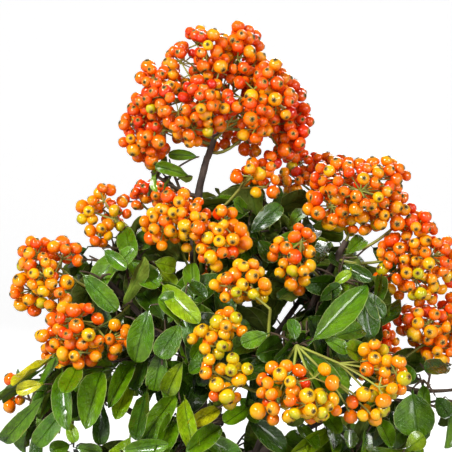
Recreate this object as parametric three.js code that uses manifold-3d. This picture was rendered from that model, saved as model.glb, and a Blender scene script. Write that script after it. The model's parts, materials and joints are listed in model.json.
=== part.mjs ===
// A young firethorn shrub, 380 mm tall: a leaning trunk with a root flare, boughs that arch out of it,
// masses of evergreen leaves at their tips, and domed clusters of orange berries, the largest at the top.
//
// Millimetres. +Z is up, the front of the shrub looks along -Y and +X is to the right of the front.
// The origin is the middle of the flat cut under the trunk, at ground level.
//
// Every limb is a bent, tapering cylinder. Every mass keeps to its own ellipsoid and starts with a stem
// that meets its limb. In a leaf mass, twigs spread from the stem along an even spiral and carry whorls of
// leaves. In a cluster, berries stand all over the outer side of a core that is fused to the stem. A twig,
// leaf or berry that would leave the ellipsoid, or touch a limb or another mass, is skipped.

import * as THREE from "three";
import { mergeVertices } from "three/addons/utils/BufferGeometryUtils.js";
import Module from "manifold-3d";

const wasm = await Module();
wasm.setup();

// ---------------------------------------------------------------------------------------------
// Driving dimensions
// ---------------------------------------------------------------------------------------------

const GAP = 0.35; // between a stem and the limb that carries it
const CLEAR = 0.9; // between anything in a mass and any other limb or stem
const BESIDE = 0.05; // between leaves and a cluster, as a share of the cluster's reach
const BORDER = 0.35; // between a mass and the plane it shares with its neighbour
const MERGE = 1e-4; // corners nearer than this are one corner

const TRUNK = { foot: 6.6, tip: 2.1, taper: 0.85, flare: 4.6, flareHeight: 9, sides: 8, steps: 18 };
const BOUGH = { sides: 5, steps: 7, lead: 0.3, middle: 0.6 };
const STEM = { sides: 3, steps: 4, lead: 0.35 };
const STRETCH = 8; // length of the straight stretches that stand for a curved limb

const LEAF = { length: 40, width: 19, thick: 1.1, fold: 2.2, curl: 4, widest: 0.6, apart: 4 };
LEAF.open = [0.75, 1.25]; // between a leaf and its twig, in radians
LEAF.vary = [0.8, 1.15]; // shortest and longest leaf, as shares of the length
LEAF.sizes = [1, 0.8, 0.65]; // tried in turn where room is short
LEAF.root = 6; // leaves may come closer together than this at their roots
LEAF.droop = 0.35; // how far a leaf may hang
LEAF.least = 0.35; // how squarely a leaf has to leave its side of the twig
LEAF.stem = { foot: 1.5, tip: 1.1, beyond: 0.3 }; // the stem runs on past the middle of the mass

const TWIG = { sides: 3, foot: 1.2, tip: 1.0, reach: 0.62, area: 5000, arch: 0.12, twist: -2.1 };
TWIG.rings = [0, 0.48, 0.55, 0.93, 1]; // long bare steps, and short steps for the whorls
TWIG.whorls = [3, 1]; // the steps that carry a whorl of leaves
TWIG.roots = [0.4, 0.95]; // the stretch of the stem that twigs leave from

const BERRY = { radius: 6.3, vary: 0.1, apart: 1.4, dome: -0.4 };
BERRY.sizes = [1, 0.8]; // tried in turn where room is short
BERRY.stem = { foot: 1.3, tip: 1.2, beyond: -0.1 };
const CORE = { inset: 1.8, facet: 1.3, behind: 0.6, clear: 1, least: 0.25 };

const SEED = { leaves: 101, fruit: 501 };
const FRAMES = 60; // places along a curve where its cross-section is turned
const UP = new THREE.Vector3(0, 0, 1);
const GOLDEN_ANGLE = Math.PI * (3 - Math.sqrt(5));

const BARK = { color: 0x4a3b34, roughness: 0.85, metalness: 0 };
const FOLIAGE = { color: 0x2f6b1c, roughness: 0.4, metalness: 0 };
const FRUIT = { color: 0xf07a12, roughness: 0.3, metalness: 0 };

// ---------------------------------------------------------------------------------------------
// The shrub's layout
// ---------------------------------------------------------------------------------------------

const trunkLine = [
  [0, 0, 0],
  [-2, 1, 20],
  [-7, 3, 60],
  [-12, 5, 120],
  [-16, 7, 195],
  [-17, 3, 250],
  [-14, -1, 275],
  [-9, -3, 295],
];

// on and along say where a bough leaves its limb; bow is how far its middle arches up, or sags if negative.
const boughs = [
  { name: "left_bough", on: "trunk", along: 0.59, tip: [-70, -16, 219], bow: -2, foot: 2.5, end: 1.5 },
  { name: "upper_left_bough", on: "left_bough", along: 0.5, tip: [-58, -12, 252], bow: 3, foot: 1.5, end: 1.1 },
  { name: "right_bough", on: "trunk", along: 0.44, tip: [75, -22, 243], bow: -16, foot: 3.2, end: 2.0 },
  { name: "right_low_bough", on: "trunk", along: 0.35, tip: [112, -20, 154], bow: 9, foot: 2.8, end: 1.5 },
  { name: "left_low_bough", on: "trunk", along: 0.4, tip: [-80, -30, 152], bow: 7, foot: 2.6, end: 1.5 },
  { name: "front_bough", on: "trunk", along: 0.28, tip: [36, -80, 166], bow: -14, foot: 2.8, end: 1.6 },
  { name: "front_left_bough", on: "trunk", along: 0.22, tip: [-42, -70, 108], bow: 6, foot: 2.6, end: 1.5 },
  { name: "front_right_bough", on: "trunk", along: 0.19, tip: [62, -58, 100], bow: 5, foot: 2.6, end: 1.5 },
  { name: "back_left_bough", on: "trunk", along: 0.46, tip: [-62, 50, 195], bow: -8, foot: 2.6, end: 1.5 },
  { name: "back_right_bough", on: "trunk", along: 0.5, tip: [58, 54, 212], bow: -10, foot: 2.7, end: 1.5 },
  { name: "back_bough", on: "trunk", along: 0.33, tip: [0, 66, 176], bow: -8, foot: 2.6, end: 1.5 },
  { name: "low_left_bough", on: "trunk", along: 0.14, tip: [-72, 16, 82], bow: 8, foot: 2.5, end: 1.4 },
  { name: "low_right_bough", on: "trunk", along: 0.165, tip: [76, 20, 86], bow: 7, foot: 2.5, end: 1.4 },
  { name: "low_back_bough", on: "trunk", along: 0.11, tip: [4, 68, 82], bow: 8, foot: 2.5, end: 1.4 },
];

// centre and reach are the middle and the half-sizes of the ellipsoid that a mass keeps to.
const leafMasses = [
  { name: "leaves_upper_left", on: "left_bough", along: 1, centre: [-62, -8, 226], reach: [44, 42, 40] },
  { name: "leaves_lower_left", on: "left_low_bough", along: 1, centre: [-92, -36, 146], reach: [47, 44, 38] },
  { name: "leaves_centre", on: "trunk", along: 0.55, centre: [-24, -38, 188], reach: [44, 42, 46] },
  { name: "leaves_front", on: "front_bough", along: 1, centre: [40, -74, 174], reach: [42, 38, 38] },
  { name: "leaves_front_low", on: "front_left_bough", along: 1, centre: [-32, -80, 116], reach: [52, 42, 38] },
  { name: "leaves_right", on: "right_bough", along: 0.72, centre: [68, -16, 208], reach: [42, 44, 42] },
  { name: "leaves_right_low", on: "right_low_bough", along: 1, centre: [116, -20, 146], reach: [44, 44, 40] },
  { name: "leaves_front_right", on: "front_right_bough", along: 1, centre: [68, -64, 108], reach: [48, 42, 38] },
  { name: "leaves_back_left", on: "back_left_bough", along: 1, centre: [-68, 54, 200], reach: [46, 44, 46] },
  { name: "leaves_back", on: "back_bough", along: 1, centre: [0, 76, 190], reach: [46, 44, 50] },
  { name: "leaves_back_right", on: "back_right_bough", along: 1, centre: [68, 58, 206], reach: [46, 44, 46] },
  { name: "leaves_low_left", on: "low_left_bough", along: 1, centre: [-84, 16, 84], reach: [50, 48, 44] },
  { name: "leaves_low_right", on: "low_right_bough", along: 1, centre: [88, 22, 88], reach: [50, 48, 44] },
  { name: "leaves_low_back", on: "low_back_bough", along: 1, centre: [4, 80, 88], reach: [54, 44, 46] },
  { name: "leaves_upper", on: "trunk", along: 0.8, centre: [16, 10, 248], reach: [48, 46, 38] },
  { name: "leaves_top", on: "trunk", along: 0.915, centre: [-40, -8, 284], reach: [24, 18, 14] },
  { name: "leaves_low_front", on: "trunk", along: 0.1, centre: [0, -46, 60], reach: [54, 44, 40] },
];

const fruitMasses = [
  { name: "crown_fruit_left", on: "trunk", along: 0.94, centre: [-35, -4, 325], reach: [32, 37, 41] },
  { name: "crown_fruit_top", on: "trunk", along: 1, centre: [4, -4, 345], reach: [39, 37, 35] },
  { name: "crown_fruit_right", on: "trunk", along: 0.96, centre: [31, 0, 320], reach: [30, 37, 36] },
  { name: "crown_fruit_front", on: "trunk", along: 0.98, centre: [-4, -30, 320], reach: [34, 27, 34] },
  { name: "crown_fruit_back", on: "trunk", along: 0.92, centre: [-2, 32, 322], reach: [38, 28, 38] },
  { name: "fruit_upper_left", on: "upper_left_bough", along: 1, centre: [-72, -10, 262], reach: [18, 18, 24] },
  { name: "fruit_left", on: "left_bough", along: 0.9, centre: [-104, -22, 224], reach: [25, 23, 28] },
  { name: "fruit_left_low", on: "left_bough", along: 0.72, centre: [-80, -48, 187], reach: [30, 21, 21] },
  { name: "fruit_centre_left", on: "trunk", along: 0.76, centre: [-30, -38, 255], reach: [18, 18, 23] },
  { name: "fruit_centre", on: "trunk", along: 0.7, centre: [1, -50, 244], reach: [19, 18, 24] },
  { name: "fruit_upper_centre", on: "trunk", along: 0.87, centre: [19, -14, 280], reach: [20, 17, 17] },
  { name: "fruit_centre_low", on: "trunk", along: 0.62, centre: [12, -70, 218], reach: [21, 17, 16] },
  { name: "fruit_front_high", on: "front_bough", along: 0.82, centre: [2, -84, 192], reach: [17, 15, 16] },
  { name: "fruit_front_left", on: "front_bough", along: 0.92, centre: [3, -104, 168], reach: [17, 15, 18] },
  { name: "fruit_front", on: "front_bough", along: 0.97, centre: [42, -116, 162], reach: [27, 19, 25] },
  { name: "fruit_front_right", on: "front_bough", along: 0.87, centre: [84, -102, 168], reach: [22, 17, 24] },
  { name: "fruit_upper_right", on: "right_bough", along: 1, centre: [80, -26, 270], reach: [35, 25, 26] },
  { name: "fruit_right", on: "right_bough", along: 0.92, centre: [119, -22, 230], reach: [24, 23, 27] },
  { name: "fruit_right_low", on: "right_low_bough", along: 0.9, centre: [132, -14, 188], reach: [26, 22, 22] },
  { name: "fruit_inner_right", on: "right_bough", along: 0.82, centre: [45, -44, 232], reach: [18, 16, 23] },
  { name: "fruit_back_right_high", on: "back_right_bough", along: 0.95, centre: [62, 60, 286], reach: [26, 22, 20] },
  { name: "fruit_back_left_high", on: "back_left_bough", along: 0.95, centre: [-50, 52, 272], reach: [30, 22, 18] },
  { name: "fruit_back", on: "back_bough", along: 0.92, centre: [2, 110, 232], reach: [30, 20, 24] },
  { name: "fruit_back_left", on: "back_left_bough", along: 0.7, centre: [-102, 86, 162], reach: [26, 22, 24] },
  { name: "fruit_back_right", on: "back_right_bough", along: 0.7, centre: [100, 88, 168], reach: [26, 22, 24] },
  { name: "fruit_far_left", on: "left_low_bough", along: 0.86, centre: [-126, 10, 149], reach: [15, 15, 16] },
  { name: "fruit_low_left", on: "front_left_bough", along: 0.86, centre: [-84, -86, 90], reach: [25, 21, 21] },
];

// ---------------------------------------------------------------------------------------------
// Small helpers
// ---------------------------------------------------------------------------------------------

const vector = ([x, y, z]) => new THREE.Vector3(x, y, z);
const mix = THREE.MathUtils.lerp;

// The same run of numbers from 0 to 1 for the same seed.
function seeded(seed) {
  let state = seed >>> 0;
  return () => {
    state = (Math.imul(state, 1664525) + 1013904223) >>> 0;
    return state / 4294967296;
  };
}

// Direction number i of count, spread evenly over a sphere along a spiral.
function spiralDirection(i, count) {
  const z = 1 - (2 * i + 1) / count;
  const flat = Math.sqrt(1 - z * z);
  return new THREE.Vector3(flat * Math.cos(GOLDEN_ANGLE * i), flat * Math.sin(GOLDEN_ANGLE * i), z);
}

// The triangles of a geometry, as three corners each.
function facetsOf(geometry) {
  const place = (geometry.index ? geometry.toNonIndexed() : geometry).attributes.position;
  const corner = (i) => new THREE.Vector3().fromBufferAttribute(place, i);
  const facet = (_, i) => [corner(3 * i), corner(3 * i + 1), corner(3 * i + 2)];
  return Array.from({ length: place.count / 3 }, facet);
}

function middleOf(corners) {
  return corners.reduce((sum, corner) => sum.add(corner), new THREE.Vector3()).divideScalar(corners.length);
}

// A closed set of triangles as a solid.
function solidOf(facets) {
  const geometry = new THREE.BufferGeometry().setFromPoints(facets.flat());
  const merged = mergeVertices(geometry, MERGE);
  const mesh = new wasm.Mesh({
    numProp: 3,
    vertProperties: merged.attributes.position.array,
    triVerts: new Uint32Array(merged.index.array),
  });
  return new wasm.Manifold(mesh);
}

// One closed body: the pieces fused, with any sealed hollow filled and any loose scrap dropped.
function fused(pieces) {
  const bodies = wasm.Manifold.union(pieces).decompose();
  return bodies.reduce((largest, body) => (body.volume() > largest.volume() ? body : largest));
}

function meshOf(name, solid, look) {
  const { vertProperties, triVerts } = solid.getMesh();
  const geometry = new THREE.BufferGeometry()
    .setAttribute("position", new THREE.BufferAttribute(vertProperties, 3))
    .setIndex(new THREE.BufferAttribute(triVerts, 1));
  const mesh = new THREE.Mesh(geometry, new THREE.MeshStandardMaterial(look));
  mesh.name = name;
  return mesh;
}

// ---------------------------------------------------------------------------------------------
// Limbs and stems: cylinders bent along a curve
// ---------------------------------------------------------------------------------------------

// Puts the rings of a cylinder where rings says, from 0 at the curve's start to 1 at its end.
function bentCylinder(curve, radiusAt, sides, rings, twist = 0) {
  const steps = rings.length - 1;
  const geometry = new THREE.CylinderGeometry(1, 1, 1, sides, steps);
  const frames = curve.computeFrenetFrames(FRAMES);
  const place = geometry.attributes.position;
  const corner = new THREE.Vector3();
  for (let i = 0; i < place.count; i++) {
    const u = rings[Math.round((place.getY(i) + 0.5) * steps)];
    const nearest = Math.round(u * FRAMES);
    const round = Math.atan2(place.getX(i), place.getZ(i)) + twist * u;
    const out = Math.hypot(place.getX(i), place.getZ(i)) * radiusAt(u);
    corner.copy(curve.getPointAt(u));
    corner.addScaledVector(frames.normals[nearest], out * Math.sin(round));
    corner.addScaledVector(frames.binormals[nearest], -out * Math.cos(round));
    place.setXYZ(i, corner.x, corner.y, corner.z);
  }
  return geometry;
}

// A limb keeps its curve and radius, and short straight stretches that tell how near a thing comes to it.
function limbAlong(name, curve, radiusAt, { sides, steps }) {
  const rings = Array.from({ length: steps + 1 }, (_, i) => i / steps);
  const geometry = bentCylinder(curve, radiusAt, sides, rings);
  const count = Math.ceil(curve.getLength() / STRETCH);
  const stretches = [];
  for (let i = 0; i < count; i++) {
    stretches.push({
      from: curve.getPointAt(i / count),
      to: curve.getPointAt((i + 1) / count),
      radius: radiusAt(i / count),
    });
  }
  return { name, curve, radiusAt, facets: facetsOf(geometry), stretches };
}

// Where a stem starts, GAP clear of its limb: in line with it at its tip, or square to it on its side.
function startOn(limb, along, towards) {
  const point = limb.curve.getPointAt(along);
  const axis = limb.curve.getTangentAt(along);
  if (along === 1) return { start: point.clone().addScaledVector(axis, GAP), out: axis };
  const out = towards.clone().sub(point).projectOnPlane(axis).normalize();
  return { start: point.clone().addScaledVector(out, limb.radiusAt(along) + GAP), out };
}

function makeTrunk() {
  const curve = new THREE.CatmullRomCurve3(trunkLine.map(vector), false, "centripetal");
  const height = trunkLine.at(-1)[2];
  const radiusAt = (u) => {
    const flare = TRUNK.flare * Math.exp((-u * height) / TRUNK.flareHeight);
    return mix(TRUNK.foot, TRUNK.tip, Math.pow(u, TRUNK.taper)) + flare;
  };
  const trunk = limbAlong("trunk", curve, radiusAt, TRUNK);
  const cut = TRUNK.foot; // the lowest ring lies lower than this, and the next one well above it
  for (const corner of trunk.facets.flat()) if (corner.z < cut) corner.z = 0;
  return trunk;
}

function makeBough({ name, along, tip, bow, foot, end }, parent) {
  const goal = vector(tip);
  const { start, out } = startOn(parent, along, goal);
  const lead = start.clone().addScaledVector(out, BOUGH.lead * start.distanceTo(goal));
  const middle = start.clone().lerp(goal, BOUGH.middle).addScaledVector(UP, bow);
  const curve = new THREE.CubicBezierCurve3(start, lead, middle, goal);
  return limbAlong(name, curve, (u) => mix(foot, end, u), BOUGH);
}

// The stem of a mass leaves its limb and ends at a goal near the middle of the mass.
function makeStem({ name, along, centre }, limb, goal, { foot, tip }) {
  const { start, out } = startOn(limb, along, goal);
  const lead = start.clone().addScaledVector(out, STEM.lead * start.distanceTo(goal));
  const curve = new THREE.QuadraticBezierCurve3(start, lead, goal);
  return limbAlong(`${name}_stem`, curve, (u) => mix(foot, tip, u), STEM);
}

// ---------------------------------------------------------------------------------------------
// Leaves: each grows from one side of a twig
// ---------------------------------------------------------------------------------------------

// A place on a blade: t runs from its root to its tip, x across it and z through it.
function bladePoint({ base, along, face, length, width }, t, x, z) {
  const side = along.clone().cross(face).normalize();
  return base
    .clone()
    .addScaledVector(along, t * length)
    .addScaledVector(side, (width / 2) * x)
    .addScaledVector(face, (LEAF.thick / 2) * z + LEAF.fold * Math.abs(x) - LEAF.curl * t * t);
}

// Points over a blade, close enough together to show whether it touches a stem.
function pointsOver(leaf) {
  const points = [bladePoint(leaf, 1, 0, 0)];
  for (let t = 0.1; t < 0.95; t += 0.1) {
    const across = t < LEAF.widest ? t / LEAF.widest : (1 - t) / (1 - LEAF.widest);
    for (const share of [-1, -0.5, 0, 0.5, 1]) points.push(bladePoint(leaf, t, across * share, 0));
  }
  return points;
}

// A blade is an open cone with four sides. Its foot is the opened side of the twig, its middle ring is the
// widest part of the leaf, with a corner at each edge and one on each face, and its top is the tip.
function bladeOn(opening, leaf) {
  const geometry = new THREE.ConeGeometry(2, 1, 4, 2, true);
  const place = geometry.attributes.position;
  for (let i = 0; i < place.count; i++) {
    const height = place.getY(i) + 0.5;
    const t = height > 0.75 ? 1 : LEAF.widest;
    const foot = height < 0.25;
    const corner = foot ? opening[(i % 5) % 4] : bladePoint(leaf, t, place.getX(i), place.getZ(i));
    place.setXYZ(i, corner.x, corner.y, corner.z);
  }
  return facetsOf(geometry);
}

// One side of one step of a twig: the number of its first facet, and its four corners in turn.
function sideOf(facets, side, step) {
  const steps = TWIG.rings.length - 1;
  const first = 2 * (side * steps + steps - 1 - step);
  const [a, b, d] = facets[first];
  const c = facets[first + 1][1];
  return { first, corners: [a, b, c, d] };
}

// A leaf that leaves one side of a twig at an angle and hangs a little.
function leafFrom([a, b, c, d], axis, random) {
  const out = new THREE.Triangle(a, b, d).getNormal(new THREE.Vector3());
  const open = mix(...LEAF.open, random());
  const length = LEAF.length * mix(...LEAF.vary, random());
  const along = axis.clone().multiplyScalar(Math.cos(open)).addScaledVector(out, Math.sin(open));
  along.addScaledVector(UP, -LEAF.droop * random()).normalize();
  const face = axis.clone().projectOnPlane(along).normalize();
  const base = a.clone().lerp(c, 0.5);
  return { base, along, face, length, width: LEAF.width, squareness: along.dot(out) };
}

// ---------------------------------------------------------------------------------------------
// Berries: each stands on one facet of a core
// ---------------------------------------------------------------------------------------------

// Axes with z along one direction and x turned towards another.
function axesOn(z, towards) {
  const x = towards.clone().projectOnPlane(z).normalize();
  return new THREE.Matrix4().makeBasis(x, z.clone().cross(x), z);
}

// A berry is an icosahedron whose lowest face is the facet that it stands on, so that face is left out.
function berryOn([a, b, c], centre, radius) {
  const [foot, ...faces] = facetsOf(new THREE.IcosahedronGeometry(radius, 0));
  const seat = [b, a, c];
  const down = middleOf(seat).sub(centre).normalize();
  const unturned = axesOn(middleOf(foot).normalize(), foot[0]).transpose();
  const turn = axesOn(down, b.clone().sub(centre)).multiply(unturned);
  const seated = (corner) => {
    const k = foot.findIndex((f) => f.distanceTo(corner) < MERGE);
    return k < 0 ? corner.clone().applyMatrix4(turn).add(centre) : seat[k];
  };
  return faces.map((face) => face.map(seated));
}

// ---------------------------------------------------------------------------------------------
// Who keeps to which space
// ---------------------------------------------------------------------------------------------

const meanReach = ({ reach }) => (reach[0] + reach[1] + reach[2]) / 3;

// The planes between a mass and the others of its kind: inside them, normal . point is under offset.
function bordersOf(mass, others) {
  const centre = vector(mass.centre);
  return others
    .filter((other) => other !== mass)
    .map((other) => {
      const away = vector(other.centre).sub(centre);
      const distance = away.length();
      const share = (distance ** 2 + meanReach(mass) ** 2 - meanReach(other) ** 2) / (2 * distance);
      const normal = away.divideScalar(distance);
      return { normal, offset: centre.dot(normal) + share - BORDER };
    });
}

// How far out a point lies in a mass's ellipsoid, where 1 is on its surface.
function depthIn({ centre, reach }, point) {
  return Math.hypot(...["x", "y", "z"].map((k, i) => (point[k] - centre[i]) / reach[i]));
}

function keepsTo(mass, borders, points) {
  const inside = (p) => borders.every(({ normal, offset }) => normal.dot(p) <= offset);
  return points.every((p) => depthIn(mass, p) <= 1 && inside(p));
}

function besides(clusters, points) {
  return points.every((p) => clusters.every((cluster) => depthIn(cluster, p) > 1 + BESIDE));
}

function pointToStretch(point, { from, to }) {
  const line = to.clone().sub(from);
  const t = THREE.MathUtils.clamp(point.clone().sub(from).dot(line) / line.lengthSq(), 0, 1);
  return point.distanceTo(line.multiplyScalar(t).add(from));
}

function clearOf(stretches, points, radius) {
  const isClear = (p, stretch) => pointToStretch(p, stretch) > stretch.radius + radius + CLEAR;
  return points.every((p) => stretches.every((stretch) => isClear(p, stretch)));
}

function pointsAlong(from, to) {
  const count = Math.ceil(from.distanceTo(to) / 2);
  return Array.from({ length: count + 1 }, (_, i) => from.clone().lerp(to, i / count));
}

// ---------------------------------------------------------------------------------------------
// Masses
// ---------------------------------------------------------------------------------------------

function growLeaves(mass, borders, obstacles, clusters, seed) {
  const random = seeded(seed);
  const { stem } = mass;
  const centre = vector(mass.centre);
  const reach = vector(mass.reach);
  const taken = []; // points over the outer parts of the leaves that are there already
  const hasRoom = (points, radius) =>
    keepsTo(mass, borders, points) && besides(clusters, points) && clearOf(obstacles, points, radius);
  const isFree = (points) => points.every((p) => taken.every((q) => p.distanceTo(q) > LEAF.apart));

  // Opens one side of one step of a twig and puts a leaf there, in the first size that has room.
  const addLeaf = (facets, axis, side, step) => {
    const { first, corners } = sideOf(facets, side, step);
    const full = leafFrom(corners, axis, random);
    if (full.squareness < LEAF.least) return;
    for (const size of LEAF.sizes) {
      const leaf = { ...full, length: full.length * size, width: full.width * size };
      const points = pointsOver(leaf);
      if (!hasRoom(points, LEAF.thick) || !isFree(points)) continue;
      facets[first] = facets[first + 1] = null;
      facets.push(...bladeOn(corners, leaf));
      taken.push(...points.filter((p) => p.distanceTo(leaf.base) > LEAF.root));
      return;
    }
  };

  const pieces = [solidOf(stem.facets)];
  const twigs = Math.round((4 * Math.PI * meanReach(mass) ** 2) / TWIG.area);
  for (let i = 0; i < twigs; i++) {
    const toward = spiralDirection(i, twigs);
    const tip = centre.clone().add(toward.multiply(reach).multiplyScalar(TWIG.reach));
    const root = stem.curve.getPointAt(mix(...TWIG.roots, random()));
    const bend = root.clone().lerp(tip, 0.5).addScaledVector(UP, TWIG.arch * root.distanceTo(tip));
    if (!hasRoom([...pointsAlong(root, bend), ...pointsAlong(bend, tip)], TWIG.foot)) continue;
    const curve = new THREE.QuadraticBezierCurve3(root, bend, tip);
    const radiusAt = (u) => mix(TWIG.foot, TWIG.tip, u);
    const facets = facetsOf(bentCylinder(curve, radiusAt, TWIG.sides, TWIG.rings, TWIG.twist));
    for (const step of TWIG.whorls) {
      const axis = curve.getTangentAt(TWIG.rings[step]);
      for (let side = 0; side < TWIG.sides; side++) addLeaf(facets, axis, side, step);
    }
    pieces.push(solidOf(facets.filter(Boolean)));
  }
  return fused(pieces);
}

function growFruit(mass, borders, obstacles, seed) {
  const random = seeded(seed);
  const centre = vector(mass.centre);
  const reach = vector(mass.reach);
  const core = facetsOf(coreOf(mass, borders, obstacles));
  const facets = [...core];
  const berries = [];
  const places = core.map((facet, number) => {
    const toward = middleOf(facet).sub(centre).divide(reach).normalize();
    return { facet, number, toward, height: toward.dot(mass.axis) };
  });
  places.sort((one, other) => other.height - one.height);
  for (const { facet, number, toward, height } of places) {
    const full = BERRY.radius * mix(1 - BERRY.vary, 1 + BERRY.vary, random());
    if (height < BERRY.dome) break;
    const middle = centre.clone().add(toward.multiply(reach.clone().subScalar(full)));
    for (const radius of BERRY.sizes.map((size) => size * full)) {
      const touches = (other) => other.middle.distanceTo(middle) < other.radius + radius + BERRY.apart;
      if (berries.some(touches) || !clearOf(obstacles, [middle], radius)) continue;
      const berry = berryOn(facet, middle, radius);
      if (!keepsTo(mass, borders, berry.flat())) continue;
      berries.push({ middle, radius });
      facets[number] = null;
      facets.push(...berry);
      break;
    }
  }
  return fused([solidOf(mass.stem.facets), solidOf(facets.filter(Boolean))]);
}

// The core of a cluster, flatter on the side of its stem, and drawn in wherever it would leave its space.
function coreOf(mass, borders, obstacles) {
  const inset = BERRY.radius * CORE.inset;
  const detail = Math.round((meanReach(mass) - inset) / (BERRY.radius * CORE.facet)) - 1;
  const geometry = new THREE.IcosahedronGeometry(1, THREE.MathUtils.clamp(detail, 0, 2));
  const centre = vector(mass.centre);
  const reach = vector(mass.reach).subScalar(inset);
  const place = geometry.attributes.position;
  for (let i = 0; i < place.count; i++) {
    const toward = new THREE.Vector3().fromBufferAttribute(place, i);
    const corner = (share) => centre.clone().addScaledVector(toward.clone().multiply(reach), share);
    const fits = (share) => {
      const inside = pointsAlong(corner(CORE.least), corner(share));
      return keepsTo(mass, borders, [corner(share)]) && clearOf(obstacles, inside, CORE.clear);
    };
    let share = toward.dot(mass.axis) < BERRY.dome ? CORE.behind : 1;
    while (share > CORE.least && !fits(share)) share -= 0.05;
    place.setXYZ(i, ...corner(share).toArray());
  }
  return geometry;
}

// ---------------------------------------------------------------------------------------------
// The whole shrub
// ---------------------------------------------------------------------------------------------

const shrub = new THREE.Group();
shrub.name = "firethorn_shrub";

const limbs = new Map([["trunk", makeTrunk()]]);
for (const row of boughs) limbs.set(row.name, makeBough(row, limbs.get(row.on)));
for (const { name, facets } of limbs.values()) shrub.add(meshOf(name, solidOf(facets), BARK));

// Every stem is placed first, so that everything that grows later keeps clear of all of them.
const masses = [...leafMasses, ...fruitMasses];
for (const mass of masses) {
  const limb = limbs.get(mass.on);
  const centre = vector(mass.centre);
  mass.axis = centre.clone().sub(limb.curve.getPointAt(mass.along)).normalize();
  const sizes = leafMasses.includes(mass) ? LEAF.stem : BERRY.stem;
  const goal = centre.addScaledVector(mass.axis, sizes.beyond * meanReach(mass));
  mass.stem = makeStem(mass, limb, goal, sizes);
}

function obstaclesFor(mass) {
  const others = masses.filter((other) => other !== mass).map((other) => other.stem);
  const stretches = [...limbs.values(), ...others].flatMap((limb) => limb.stretches);
  const near = Math.max(...mass.reach) + 2 * STRETCH;
  return stretches.filter(({ from }) => from.distanceTo(vector(mass.centre)) < near);
}

leafMasses.forEach((mass, i) => {
  const borders = bordersOf(mass, leafMasses);
  const solid = growLeaves(mass, borders, obstaclesFor(mass), fruitMasses, SEED.leaves + i);
  shrub.add(meshOf(mass.name, solid, FOLIAGE));
});
fruitMasses.forEach((mass, i) => {
  const solid = growFruit(mass, bordersOf(mass, fruitMasses), obstaclesFor(mass), SEED.fruit + i);
  shrub.add(meshOf(mass.name, solid, FRUIT));
});

export default shrub;
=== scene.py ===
# %% [markdown]
# # A firethorn shrub in fruit
# A firethorn is an evergreen shrub with stiff brown boughs, small glossy leaves and domed heads of berries.
# A head is called a corymb: its stalks start at different heights and end level, like the ribs of an
# umbrella, and each carries a berry. This lesson grows the boughs, leaves and berries by rules, and lets
# Geometry Nodes turn the rules' points and lines into meshes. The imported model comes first, as a frame: it
# says where every limb and every mass of leaves or fruit has to be, in metres.

# %% Load the frame
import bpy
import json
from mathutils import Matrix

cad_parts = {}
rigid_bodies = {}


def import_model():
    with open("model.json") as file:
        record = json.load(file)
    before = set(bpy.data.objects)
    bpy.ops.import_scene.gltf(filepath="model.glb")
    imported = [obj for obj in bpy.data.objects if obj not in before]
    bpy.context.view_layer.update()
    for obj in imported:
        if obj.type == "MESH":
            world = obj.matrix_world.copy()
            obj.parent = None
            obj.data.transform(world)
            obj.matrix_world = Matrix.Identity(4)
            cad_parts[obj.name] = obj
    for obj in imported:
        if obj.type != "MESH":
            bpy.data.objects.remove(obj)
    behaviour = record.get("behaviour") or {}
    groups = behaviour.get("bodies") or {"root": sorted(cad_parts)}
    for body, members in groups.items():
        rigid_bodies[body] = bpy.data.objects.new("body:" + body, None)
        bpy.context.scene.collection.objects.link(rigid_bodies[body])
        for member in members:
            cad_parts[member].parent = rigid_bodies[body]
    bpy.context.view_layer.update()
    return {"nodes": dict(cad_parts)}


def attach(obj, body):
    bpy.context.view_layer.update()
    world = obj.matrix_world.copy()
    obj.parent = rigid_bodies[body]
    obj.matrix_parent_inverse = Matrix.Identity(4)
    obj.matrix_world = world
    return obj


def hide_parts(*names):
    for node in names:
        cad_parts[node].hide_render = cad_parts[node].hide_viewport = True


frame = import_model()
print("nodes in the frame:", len(frame["nodes"]))

# %% [markdown]
# ## Small tools
# Growing a plant needs little mathematics: directions, mixes, and a fixed run of random numbers, so that
# the plant comes out the same each time. Sizes are written in millimetres, because a berry of 8 mm is
# easier to read than one of 0.008 m, and they become metres when a mesh is made.

# %% Small tools
import json
import math

import bpy
import numpy as np
from mathutils import Matrix, Vector

MM = 0.001
UP = np.array([0.0, 0.0, 1.0])
GOLDEN_ANGLE = math.pi * (3 - math.sqrt(5))
SEED = 2024
rng = np.random.default_rng(SEED)
print("seed:", SEED)


def unit(v):
    return v / max(np.linalg.norm(v), 1e-9)


def mix(a, b, t):
    return a + (b - a) * t


def square_to(v, axis):
    """The part of v that is square to an axis, as a direction."""
    return unit(v - axis * np.dot(v, axis))


def spiral_direction(i, count):
    """Direction number i of count, spread evenly over a sphere along a spiral."""
    z = 1 - (2 * i + 1) / count
    flat = math.sqrt(1 - z * z)
    return np.array([flat * math.cos(GOLDEN_ANGLE * i), flat * math.sin(GOLDEN_ANGLE * i), z])


# %% Lines through space
class Path:
    """A line through space that knows how far along each of its points lies."""

    def __init__(self, points):
        self.points = np.array(points, float)
        steps = np.linalg.norm(np.diff(self.points, axis=0), axis=1)
        self.length = steps.sum()
        self.along = np.concatenate([[0.0], np.cumsum(steps)]) / self.length

    def at(self, u):
        return np.array([np.interp(u, self.along, self.points[:, k]) for k in range(3)])

    def tangent(self, u):
        return unit(self.at(min(1, u + 0.01)) - self.at(max(0, u - 0.01)))


def bezier(*corners, count=24):
    """A Bezier curve: the corners are mixed two by two until one point is left."""
    t = np.linspace(0, 1, count)[:, None]
    layer = [np.tile(np.array(c, float), (count, 1)) for c in corners]
    while len(layer) > 1:
        layer = [mix(a, b, t) for a, b in zip(layer, layer[1:])]
    return Path(layer[0])


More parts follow.
